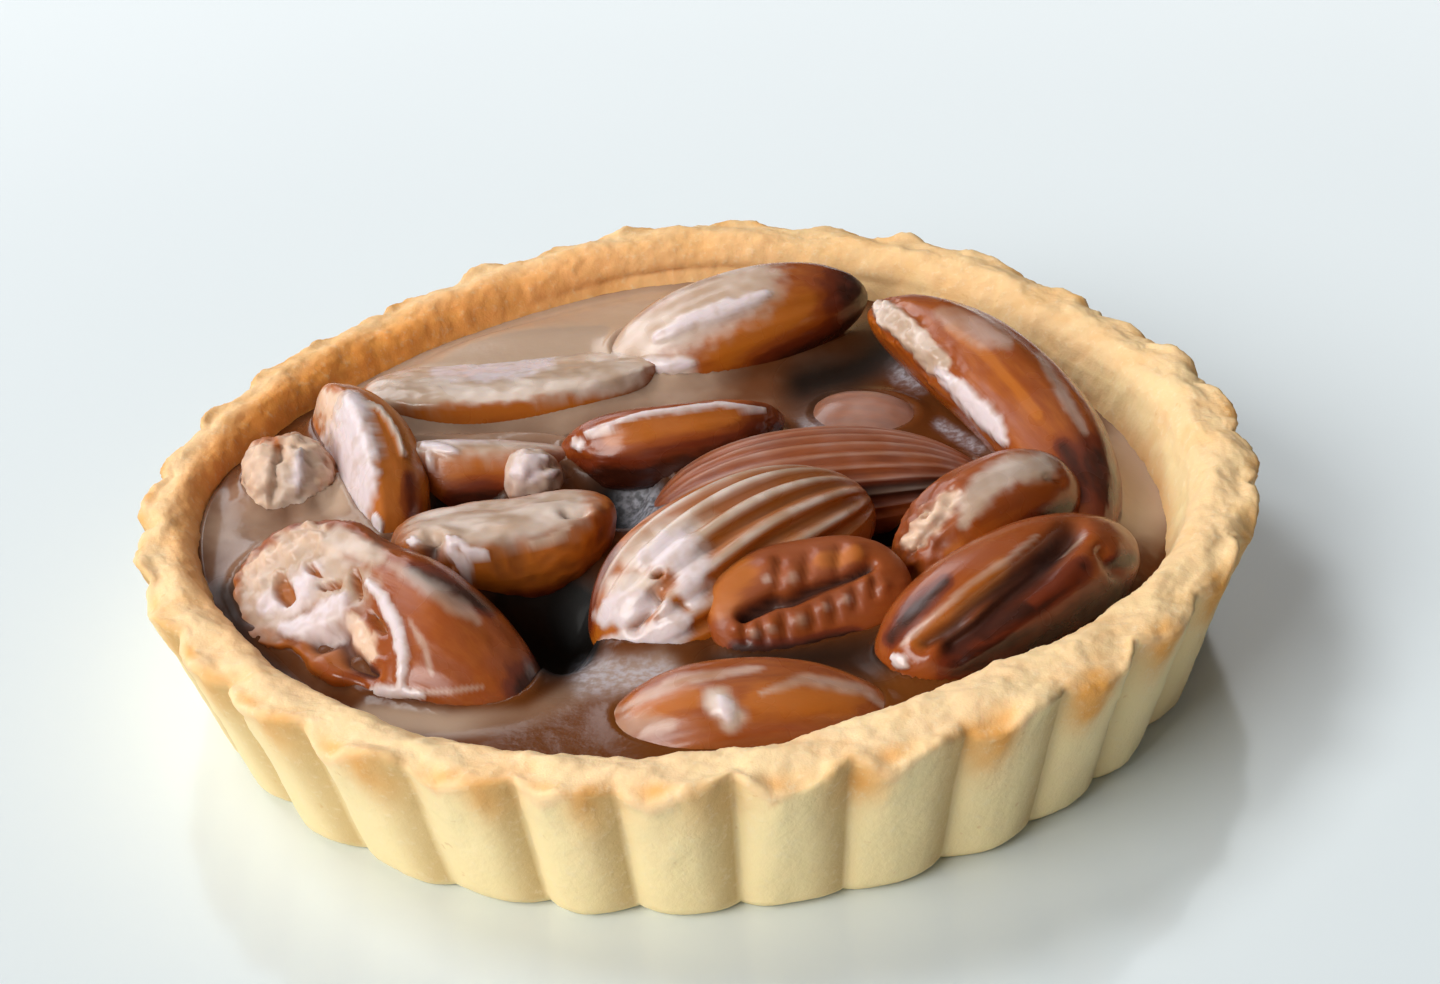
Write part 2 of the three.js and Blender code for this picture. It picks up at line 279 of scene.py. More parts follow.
# The plain lathed shell, with marks that say how far each point gives way to the flutes.
flute = np.arange(flute_count * steps_per_flute) / steps_per_flute
even = math.radians(first_valley) + 2 * np.pi * flute / flute_count
angle = even + waves(even, flute_drift) + crowding * bulge(even, *crowded_side)
out, up, ragged = bulges(angle, swells), bulges(angle, swells, 1), waves(angle, ragged_lip)
press_here = flute_depth * (1 + waves(angle, uneven_press))
foot, lip = foot_radius + ragged - sand_room, rim_radius + out - sand_room
lip_z = lip_height + up + 2 * ragged
even_ring = 1 + 0 * angle
# Each ring: its radius and height, how far a flute presses it in, how far a fold lifts it, how
# sandy it is, and its station: 0 to 1 up the wall, on to 2 over the rim, and to 3 down inside.
rings = []
for share in (0.5, 0.9):
    rings.append((share * foot, 0 * angle, foot_press * share * press_here, 0, 0.0, 0.0))
for turn in np.linspace(0, 1, foot_rows + 1)[:-1]:
    curl, climb = math.sin(turn * math.pi / 2), 1 - math.cos(turn * math.pi / 2)
    rings.append((foot - foot_curl * (1 - curl), foot_rise * climb * even_ring,
                  foot_press * press_here, 0, 0.3 * turn, 0.0))
for rise in np.linspace(foot_rise / lip_height, 1, wall_rows):
    lean, softened = rise**wall_lean, 1 - 0.2 * smoothstep(0.84, 1, rise)
    out_to = foot + (lip - foot) * lean - wall_hollow * math.sin(math.pi * rise)
    rings.append((out_to, rise * lip_z,
                  (foot_press + (1 - foot_press) * lean) * softened * press_here,
                  smoothstep(0.5, 1, rise), 0.3 + 0.9 * rise**4, rise))
inner = inner_wall_radius(angle, inner_lip_height)
for turn in np.linspace(0, 1, rim_rows + 1)[1:]:
    dome = math.sin(math.pi * turn) ** rim_round
    pressed = 0.12 * np.sin(19 * angle + 9 * turn) + 0.1 * np.sin(31 * angle - 7 * turn)
    folding = 1 - smoothstep(0, 0.3, turn)
    edge_height = lip_height + (inner_lip_height - lip_height) * turn**2 + up
    z = edge_height + (shell_height + up - edge_height) * dome + pressed * dome + 2 * ragged * folding
    rim_pressed = rim_press * (1 - turn) ** rim_press_fade * press_here
    rings.append((lip + (inner - lip) * turn, z, rim_pressed, folding, 1.0 + 0.3 * folding, 1 + turn))
for drop in np.linspace(0, 1, inner_rows + 1)[1:] ** 1.3:
    z = (inner_lip_height + up) * (1 - drop) + floor_thickness * drop
    rings.append((inner_wall_radius(angle, z), z, 0, 0, 0.8, 2 + drop))
inner_foot = inner_wall_radius(angle, floor_thickness)
rings.append((inner_foot * 0.5, floor_thickness * even_ring, 0, 0, 0.0, 3.0))
radius, height, press, lift, sandy, station = (
    np.stack([ring[column] * even_ring for ring in rings]) for column in range(6)
)

# How it baked, and where shade is painted: tan from the lip up, toasted in patches below it and
# at the folds' tips, those below the lip partly painted shade under its overhang, the wall at the
# right more toasted as painted warm shade, painted shade on one flank of each flute and on the rim
# away from the light, and soaked with caramel inside, most of all at the back left.
to_right, to_back, back_left = np.cos(angle), np.sin(angle), bulge(angle, *soaked_side)
on_wall, inside = 1 - smoothstep(0.96, 1.12, station), smoothstep(1.9, 2.05, station)
from_tip = np.abs(2 * ((flute + 0.5 - fold_shift) % 1) - 1)  # 0 where a fold hangs, 1 where it arches
tan_from = lip_height + up + 0.1 - tan_drop * np.clip(1 - from_tip / 0.6, 0, 1)
bake = smoothstep(tan_from - 1.0, tan_from + 0.6, height) * 0.75 + 0.12 * smoothstep(5.0, 12.0, height)
bake = np.where(station > 1, 0.8 + 0.25 * back_left, bake)
bake -= inside * (0.3 + 0.15 * np.sin(angle + 2.4))
# Patches under the lip: toasting, and partly painted shade where the overhang shades each flute's flank.
patch_at = 0.78 + 0.55 * smoothstep(-0.2, 0.8, to_right)  # share of a flute, further on at the right
from_patch = (flute - patch_at + 0.5) % 1 - 0.5
below_lip = lip_height + up - 0.5 - height
patch_reach = np.where(below_lip > 0, patch_down, patch_up)
beside = fading(from_patch, patch_spread) * fading(below_lip, patch_reach)
of_each_flute = 1.2 + 0.25 * np.sin(5 * np.floor(flute) ** 1.3)
patch = beside * (1 - smoothstep(1.02, 1.3, station)) * of_each_flute
tip_patch = fading(flute % 1 - 0.35, 0.16) * fading(station - 1.12, 0.09)
# The folds' tips toast; the extra toast on the wall at the right is painted warm shade.
patch = np.maximum(patch, 0.8 * tip_patch) + 0.45 * on_wall * smoothstep(0.75, 0.97, to_right)
patch += 0.15 * smoothstep(0.2, 0.8, to_back) * smoothstep(0.9, 1.2, station)
# Painted shade on the flank of each flute that faces away from the light, up to its valley.
flank = smoothstep(0.45, 0.95, flute % 1) + 0.5 * (1 - smoothstep(0.0, 0.14, flute % 1))
shade = 0.75 * np.clip(flank, 0, 1) ** 1.5 * on_wall * smoothstep(0.2, 1.2, height)
# Painted shade on the rim and the inner wall at the right, which face away from the light.
sunless = smoothstep(-0.1, 0.6, np.cos(angle - 0.35)) * (1 - on_wall)
shade += 0.2 * sunless
# A little painted shade on the rim away from the light, and more toast at the back left.
patch += 0.1 * sunless + 0.25 * back_left * smoothstep(1.0, 1.3, station)
soaked = back_left * smoothstep(1.35, 1.9, station)
soaked += 0.5 * (1 - back_left) * smoothstep(2.1, 2.5, station)
shell_grid = np.stack([radius * to_right, radius * to_back, height], 2)
crust = closed_skin("pastry_shell", shell_grid, (0, 0, 0), (0, 0, floor_thickness), {
    "turn": even_ring * angle + 0 * radius,
    "flute": flute + 0 * radius,
    "press": press,
    "lift": lift,
    "sandy": sandy,
    "bake": bake,
    "patch": np.clip(patch, 0, 1),
    "shade": shade,
    "soak": np.clip(soaked, 0, 0.95),
})

# The tree presses the flutes in, arches the lip between the folds, and roughens the crumb.
shell_settings = {
    "Valley Sharpness": 2.4,
    "Arch Height": 0.9 * mm,
    "Hand Marks": 0.65 * mm,
    "Crumb Height": 0.6 * mm,
    "Crumb Size": 1.3 * mm,
    "Pastry": shortcrust,
}
tree, given, result = tree_with_inputs("press_flutes", shell_settings)
turn = mark_node(tree, "turn")
valley = sum_node(tree, "POWER", zigzag(tree, mark_node(tree, "flute")), given["Valley Sharpness"])
from_tip = zigzag(tree, sum_node(tree, "ADD", mark_node(tree, "flute"), 0.5 - fold_shift))
arch = sum_node(tree, "SINE", sum_node(tree, "MULTIPLY", from_tip, math.pi / 2))
arch = sum_node(tree, "MULTIPLY", mark_node(tree, "lift"), sum_node(tree, "SUBTRACT", arch, 0.4))
inward = sum_node(tree, "MULTIPLY", mark_node(tree, "press"), valley)
inward = sum_node(tree, "MULTIPLY", inward, -mm)
east = sum_node(tree, "MULTIPLY", sum_node(tree, "COSINE", turn), inward)
north = sum_node(tree, "MULTIPLY", sum_node(tree, "SINE", turn), inward)
upward = sum_node(tree, "MULTIPLY", arch, given["Arch Height"])
shift = add(tree, "ShaderNodeCombineXYZ", {0: east, 1: north, 2: upward}).outputs[0]
feeds = {"Geometry": given["Geometry"], "Offset": shift}
pressed = add(tree, "GeometryNodeSetPosition", feeds).outputs[0]
place = add(tree, "GeometryNodeInputPosition").outputs[0]
fine = add(tree, "ShaderNodeTexNoise", {"Vector": place, "Detail": 3.0, "Roughness": 0.65})
tree.links.new(sum_node(tree, "DIVIDE", 1.0, given["Crumb Size"]), fine.inputs["Scale"])
broad = add(tree, "ShaderNodeTexNoise", {"Vector": place, "Scale": 1 / (3.2 * mm), "Detail": 1.5})
lifts = [
    sum_node(tree, "MULTIPLY", sum_node(tree, "SUBTRACT", grain.outputs[0], 0.5), given[height_of])
    for grain, height_of in ((fine, "Crumb Height"), (broad, "Hand Marks"))
]
rough = sum_node(tree, "MULTIPLY", sum_node(tree, "ADD", *lifts), mark_node(tree, "sandy"))
normal = add(tree, "GeometryNodeInputNormal").outputs[0]
roughen = add(tree, "ShaderNodeVectorMath", {0: normal, "Scale": rough}, operation="SCALE").outputs[0]
roughened = add(tree, "GeometryNodeSetPosition", {"Geometry": pressed, "Offset": roughen}).outputs[0]
realized = add(tree, "GeometryNodeRealizeInstances", {"Geometry": roughened}).outputs[0]
feeds = {"Geometry": realized, "Material": given["Pastry"]}
tree.links.new(add(tree, "GeometryNodeSetMaterial", feeds).outputs[0], result.inputs[0])
grow(crust, tree, shell_settings)
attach(crust, "root")
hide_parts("crust")

# ---------------------------------------------------------------- pecans
# Shelled pecan halves and broken bits, tossed in hot caramel: brown skin with long furrows on
# the domed back, a deep cleft down the belly, and a milky coat where the caramel set thick.
skin_depth, pit_depth, rough_height, cut_edge = 0.26, 0.9, 0.4, 0.5
deepest, highest, box_room = -2.6, 0.8, 0.02
rows_per_mm, columns_per_mm = 3.6, 6
back_furrows, belly_cleft = ((67.5, 8), (112.5, 8)), (270, 9)  # degrees round a half, and spread
along_streaks, along_lines = (0.22, 1, 1), (0.16, 1, 1)  # how grain is drawn out lengthwise
eye, down_tilt = np.array((2.0, -195.3, 123.4)), math.radians(29.8)
eye_to_pie = float(np.linalg.norm(eye))
# What a half is unless it says otherwise. nose and tail say how blunt its ends are, back and belly
# how its two sides round, bend and crook how it curves. lobes are ridges round it: from and to in
# degrees, how many, how deep. A cut has a place and the way that it faces. A stroke, from pale to
# pits, has a reach in millimetres and the places that it passes, and relief also how far it pushes.
plain_pecan = {
    "width": 13, "height": 9, "back": 0.64, "nose": 2.2, "tail": 2.6, "taper": 0.1, "bend": 0.06,
    "crook": 0, "grooves": 0.13, "cleft": 0.2, "crags": 0, "crags_to": 0, "crag_height": 0.4,
    "belly": 1, "lobes": (), "cuts": (), "ripples": 0.12, "tone": 0.5, "film": 0.04, "relief": (),
    "pale": (), "milk": (), "cream": (), "veil": (), "flesh": (), "rough": (), "honey": (), "dark": (),
    "pits": (), "lumpy": 1, "matt": 0, "coat": 0.3, "crests": 0,
}
# Of the strokes, the pale ones thicken the coat and paint a lavender-white reflection on it, the veil a thin
# milky film that is partly painted sheen, the honey ones lighter skin that is partly painted highlight and
# side light, and the dark ones darker skin, partly painted shade on undersides, ends and gaps.
stroke_edges = {  # how soft and how ragged the edge of each kind of stroke is, and how thin its ends
    "pale": (0.55, 0.45, 0.5), "milk": (0.25, 0.2, 0), "cream": (0.6, 0.3, 0), "veil": (0.8, 0.4, 0.5),
    "flesh": (0.4, 0.5, 0.3), "rough": (0.6, 0.2, 0), "honey": (0.8, 0.1, 0), "dark": (0.9, 0.1, 0.3),
    "pits": (0.4, 0.3, 0.3),
}

milk_caramel, cream_caramel, pale_caramel = (0.50, 0.35, 0.25), (0.72, 0.59, 0.51), (0.72, 0.61, 0.62)
honey_skin, amber_skin = (0.45, 0.12, 0.009), (0.29, 0.057, 0.005)
red_skin, burnt_skin = (0.15, 0.022, 0.005), (0.035, 0.007, 0.003)
flesh_colour, pit_colour, furrow_colour = (0.77, 0.54, 0.39), (0.36, 0.12, 0.03), (0.055, 0.009, 0.003)
glazed, tree, shader = finish_named("glazed_pecan", 0.28, 0.16, 0.18, glow=0.15, glow_reach=1.2)
lengthwise = add(tree, "ShaderNodeAttribute", attribute_name="rest").outputs["Vector"]
streaks = grain_node(tree, 1.3, 3.0, 0.6, lengthwise)
clouds = grain_node(tree, 4.5, 2.0)
tone = sum_node(tree, "ADD", mark_node(tree, "tone"), remapped(tree, streaks, 0.3, 0.7, -0.12, 0.12))
colour = honey_skin
for start, darker in ((0.0, amber_skin), (0.5, red_skin), (1.0, burnt_skin)):
    colour = mixed(tree, remapped(tree, tone, start, start + 0.5), colour, darker)
creamy = mixed(tree, remapped(tree, clouds, 0.35, 0.68), milk_caramel, cream_caramel)
# The palest colour is a painted reflection, lavender-white, thinner in spots.
thin_spots = remapped(tree, grain_node(tree, 1.6, 2.0), 0.45, 0.7, 0.0, 0.4)
palest = mixed(tree, thin_spots, pale_caramel, milk_caramel)
# The hollow mark paints shade into the furrows, the cleft and relief pressed in.
for mark, layer in (("flesh", flesh_colour), ("hollow", furrow_colour), ("milk", creamy),
                    ("pale", palest), ("pit", pit_colour)):
    colour = mixed(tree, mark_node(tree, mark), colour, layer)
tree.links.new(colour, shader.inputs["Base Color"])
satin = sum_node(tree, "ADD", remapped(tree, clouds, 0.3, 0.7, 0.18, 0.32), mark_node(tree, "matt"))
tree.links.new(satin, shader.inputs["Roughness"])
emboss(tree, shader, 0.18, 0.2, grain_node(tree, 0.8, 4.0, 0.65, lengthwise))


def fractal(points, size, octaves=3):
    """Noise of about -1 to 1 at each point, with lumps of that size."""
    return np.array([noise.fractal(Vector(point), 0.8, 2.0, octaves) for point in points / size])


def as_seen(points):
    """Points in millimetres laid flat, as the eye in front of the pie sees them, at its scale."""
    offset = np.asarray(points, float).reshape(-1, 3) - eye
    depth = offset @ (0, math.cos(down_tilt), -math.sin(down_tilt))
    rise = offset @ (0, math.sin(down_tilt), math.cos(down_tilt))
    return np.stack([offset[:, 0], rise], 1) * (eye_to_pie / depth)[:, None]


def distance_to(seen, places):
    """How far each seen point is from a chain of places, as the eye sees them, and how far along it."""
    chain = as_seen(places)
    legs = list(zip(chain, chain[1:] if len(chain) > 1 else chain))
    away, passed = np.full(len(seen), 1e9), np.full(len(seen), 0.5)
    for leg, (start, end) in enumerate(legs):
        run = end - start
        share = np.clip((seen - start) @ run / max(run @ run, 1e-9), 0, 1)
        here = np.linalg.norm(seen - start - share[:, None] * run, axis=1)
        passed = np.where(here < away, (leg + share) / len(legs), passed)
        away = np.minimum(away, here)
    return away, passed if len(places) > 1 else np.full(len(seen), 0.5)


def near_strokes(seen, strokes, frayed, soft=0.25, ragged=0.15, thin=0):
    """How much each seen point is covered by strokes laid along chains of places, 0 to 1."""
    cover = np.zeros(len(seen))
    for reach, *places in strokes:
        away, passed = distance_to(seen, places)
        width = reach * (1 - thin + thin * np.sin(np.pi * passed))
        cover = np.maximum(cover, 1 - smoothstep(1 - soft, 1 + soft, away / width + ragged * frayed))
    return cover


def pecan(node, middle, heading=0, pitch=0, roll=0, **own):
    """A half laid in the pie: its middle in millimetres, its nose's heading and pitch, its roll."""
    shape = {**plain_pecan, **own}
    length, width, height = shape["length"], shape["width"], shape["height"]
    rows, columns = int(length * rows_per_mm) + 14, int((width + height) * columns_per_mm) + 12
    along = -np.cos(np.pi * np.arange(1, rows) / rows)[:, None]
    turn = (2 * np.pi * np.arange(columns) / columns)[None, :]
    girth = np.sqrt(1 - np.abs(along) ** np.where(along > 0, shape["nose"], shape["tail"]))
    fade = 1 - along**4

    def furrow(degrees, spread):
        waver = 3.0 * np.sin(2.6 * along + degrees) + 1.4 * np.sin(7.3 * along + 2 * degrees)
        return bulge(turn, degrees + waver, spread)

    grooves = shape["grooves"] * sum(furrow(*place) for place in back_furrows)
    cleft = shape["cleft"] * furrow(*belly_cleft)
    crest = 0 * grooves
    for first, last, count_of, depth in shape["lobes"]:
        waver = 1.6 * np.sin(2.4 * along + first) + 0.8 * np.sin(6.1 * along + last)
        share = (np.degrees(turn) + waver - first) / (last - first) * count_of
        among = smoothstep(-0.2, 0.1, share) * smoothstep(-0.2, 0.1, count_of - share)
        from_crest = np.abs(2 * (share % 1) - 1)
        grooves = grooves + depth * among * from_crest**2.2
        crest = crest + among * (1 - smoothstep(0.1, 0.9, from_crest))
    broken = 1 - smoothstep(shape["crags_to"] - 0.3, shape["crags_to"] + 0.1, along)
    chips = np.sin(7 * along + 3 * turn) + np.sin(11 * along - 5 * turn + 1)
    chipped = 1 - shape["crags"] * broken * fade * (1 + 0.5 * chips)
    worn = 1 - fade * (grooves + cleft)
    lift = np.where(np.sin(turn) > 0, shape["back"], 1 - shape["back"])
    spread = girth * worn * chipped * (1 - shape["taper"] * along)
    arc, arc_at_end = along * along - 0.3, 0.7
    aside, down = shape["crook"] * length, shape["bend"] * length
    x = length / 2 * along + 0 * turn
    y = width / 2 * spread * np.cos(turn) + aside * arc
    rounded = np.where(np.sin(turn) > 0, np.sin(turn), -(np.abs(np.sin(turn)) ** shape["belly"]))
    z = height * lift * spread * rounded - down * arc
    ends = [(side * length / 2, aside * arc_at_end, -down * arc_at_end) for side in (-1, 1)]
    # Painted shade: furrows and the cleft are darkened by how deep they cut.
    hollow = fade * (grooves * 2.2 + cleft * 2.6) + 0 * x
    piece = closed_skin(node + "_glazed", np.stack([x, y, z], 2), *ends, {
        "hollow": np.clip(hollow, 0, 0.8),
        "broken": broken * np.sign(shape["crags"]) + 0 * x,
        "crest": crest * fade + 0 * x,
    })
    mesh = piece.data
    count = len(mesh.vertices)
    rest = np.empty(count * 3)
    mesh.vertices.foreach_get("co", rest)
    rest = rest.reshape(-1, 3)
    layer = mesh.attributes.new("rest", "FLOAT_VECTOR", "POINT")
    layer.data.foreach_set("vector", (rest * along_streaks).astype(np.float32).ravel())
    placed = Matrix.Translation(Vector(middle) * mm) @ (
        Matrix.Rotation(math.radians(heading), 4, "Z")
        @ Matrix.Rotation(math.radians(-pitch), 4, "Y")
        @ Matrix.Rotation(math.radians(roll), 4, "X")
    )
    mesh.transform(placed)

    marks = {}
    for mark in ("hollow", "broken", "crest"):
        marks[mark] = np.empty(count)
        mesh.attributes[mark].data.foreach_get("value", marks[mark])
    points, normals = np.empty(count * 3), np.empty(count * 3)
    mesh.vertices.foreach_get("co", points)
    points = points.reshape(-1, 3) / mm
    for place, facing in shape["cuts"]:  # what lies beyond a cut is pressed back onto it
        facing = np.array(facing) / np.linalg.norm(facing)
        beyond = (points - place) @ facing
        points = points - facing * (cut_edge * np.logaddexp(0, beyond / cut_edge))[:, None]
    mesh.vertices.foreach_set("co", (points * mm).ravel())
    mesh.update()
    mesh.vertex_normals.foreach_get("vector", normals)
    normals = normals.reshape(-1, 3)
    # Each grain below starts at a place of its own in the noise, so that none follows another.
    lumps = shape["lumpy"] * fractal(points, 2.2, 2)
    lines = fractal(rest / mm * along_lines + 7, 1.1)
    seen = as_seen(points)
    towards = eye - points
    faces_eye = np.sum(normals * towards, 1) / np.linalg.norm(towards, axis=1)
    in_front = smoothstep(-0.15, 0.2, faces_eye)
    frayed = fractal(points + 11, 1.1, 2)
    covered = {kind: in_front * near_strokes(seen, shape[kind], frayed, *edge)
               for kind, edge in stroke_edges.items()}
    # Film along the ridges' crests is partly painted highlight.
    film = (shape["film"] + shape["crests"] * marks["crest"] * (1 + 0.3 * lines)) * (1 + 0.2 * lumps)
    film *= smoothstep(0.2, 0.9, normals[:, 2]) * (1 - marks["hollow"])
    coat = np.maximum(covered["milk"], covered["pale"])
    milk = np.maximum.reduce([coat, 0.95 * covered["cream"], film, 0.5 * covered["veil"]])
    bare = 1 - 0.8 * np.maximum(coat, covered["cream"])
    crag = -np.abs(fractal(points + 31, 2.0, 2)) * marks["broken"]
    pushed = in_front * sum(push * fading(distance_to(seen, places)[0], reach)
                            for reach, push, *places in shape["relief"])
    height_off = -skin_depth + shape["ripples"] * lines * bare * 0.3 + shape["crag_height"] * crag
    height_off += pushed - pit_depth * covered["pits"]
    height_off += coat * (shape["coat"] + 0.1 * lumps + 0.08 * frayed + marks["hollow"])
    if shape["rough"]:
        height_off += rough_height * covered["rough"] * fractal(points + 5, 0.9)
    points = points + normals * np.clip(height_off, deepest, highest)[:, None]
    points[:, 2] = np.minimum(points[:, 2], cad_box[1][2] / mm - box_room)
    mesh.vertices.foreach_set("co", (points * mm).ravel())
    mesh.update()
    write_mark(mesh, "milk", np.clip(milk * (1 - covered["pits"]), 0, 1))
    write_mark(mesh, "pale", np.clip(covered["pale"] * (1 - covered["pits"]), 0, 1))
    write_mark(mesh, "flesh", np.clip(covered["flesh"], 0, 1))
    write_mark(mesh, "pit", 0.85 * covered["pits"])
    # Relief pressed well in also gets painted shade.
    sunk = np.clip(-pushed - 0.35, 0, 1)
    hollow = np.clip(marks["hollow"] * bare + sunk - 0.5 * crag, 0, 0.9)
    write_mark(mesh, "hollow", hollow)
    write_mark(mesh, "matt", shape["matt"] + 0.12 * marks["broken"] + 0.35 * hollow)
    # Honey strokes lighten the skin, partly as painted highlight and side light; dark strokes darken it,
    # partly as painted shade.
    write_mark(mesh, "tone", shape["tone"] * (1 - covered["honey"]) + covered["dark"] - 0.05)
    mesh.materials.append(glazed)
    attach(piece, "root")
    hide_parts(node)
    return piece


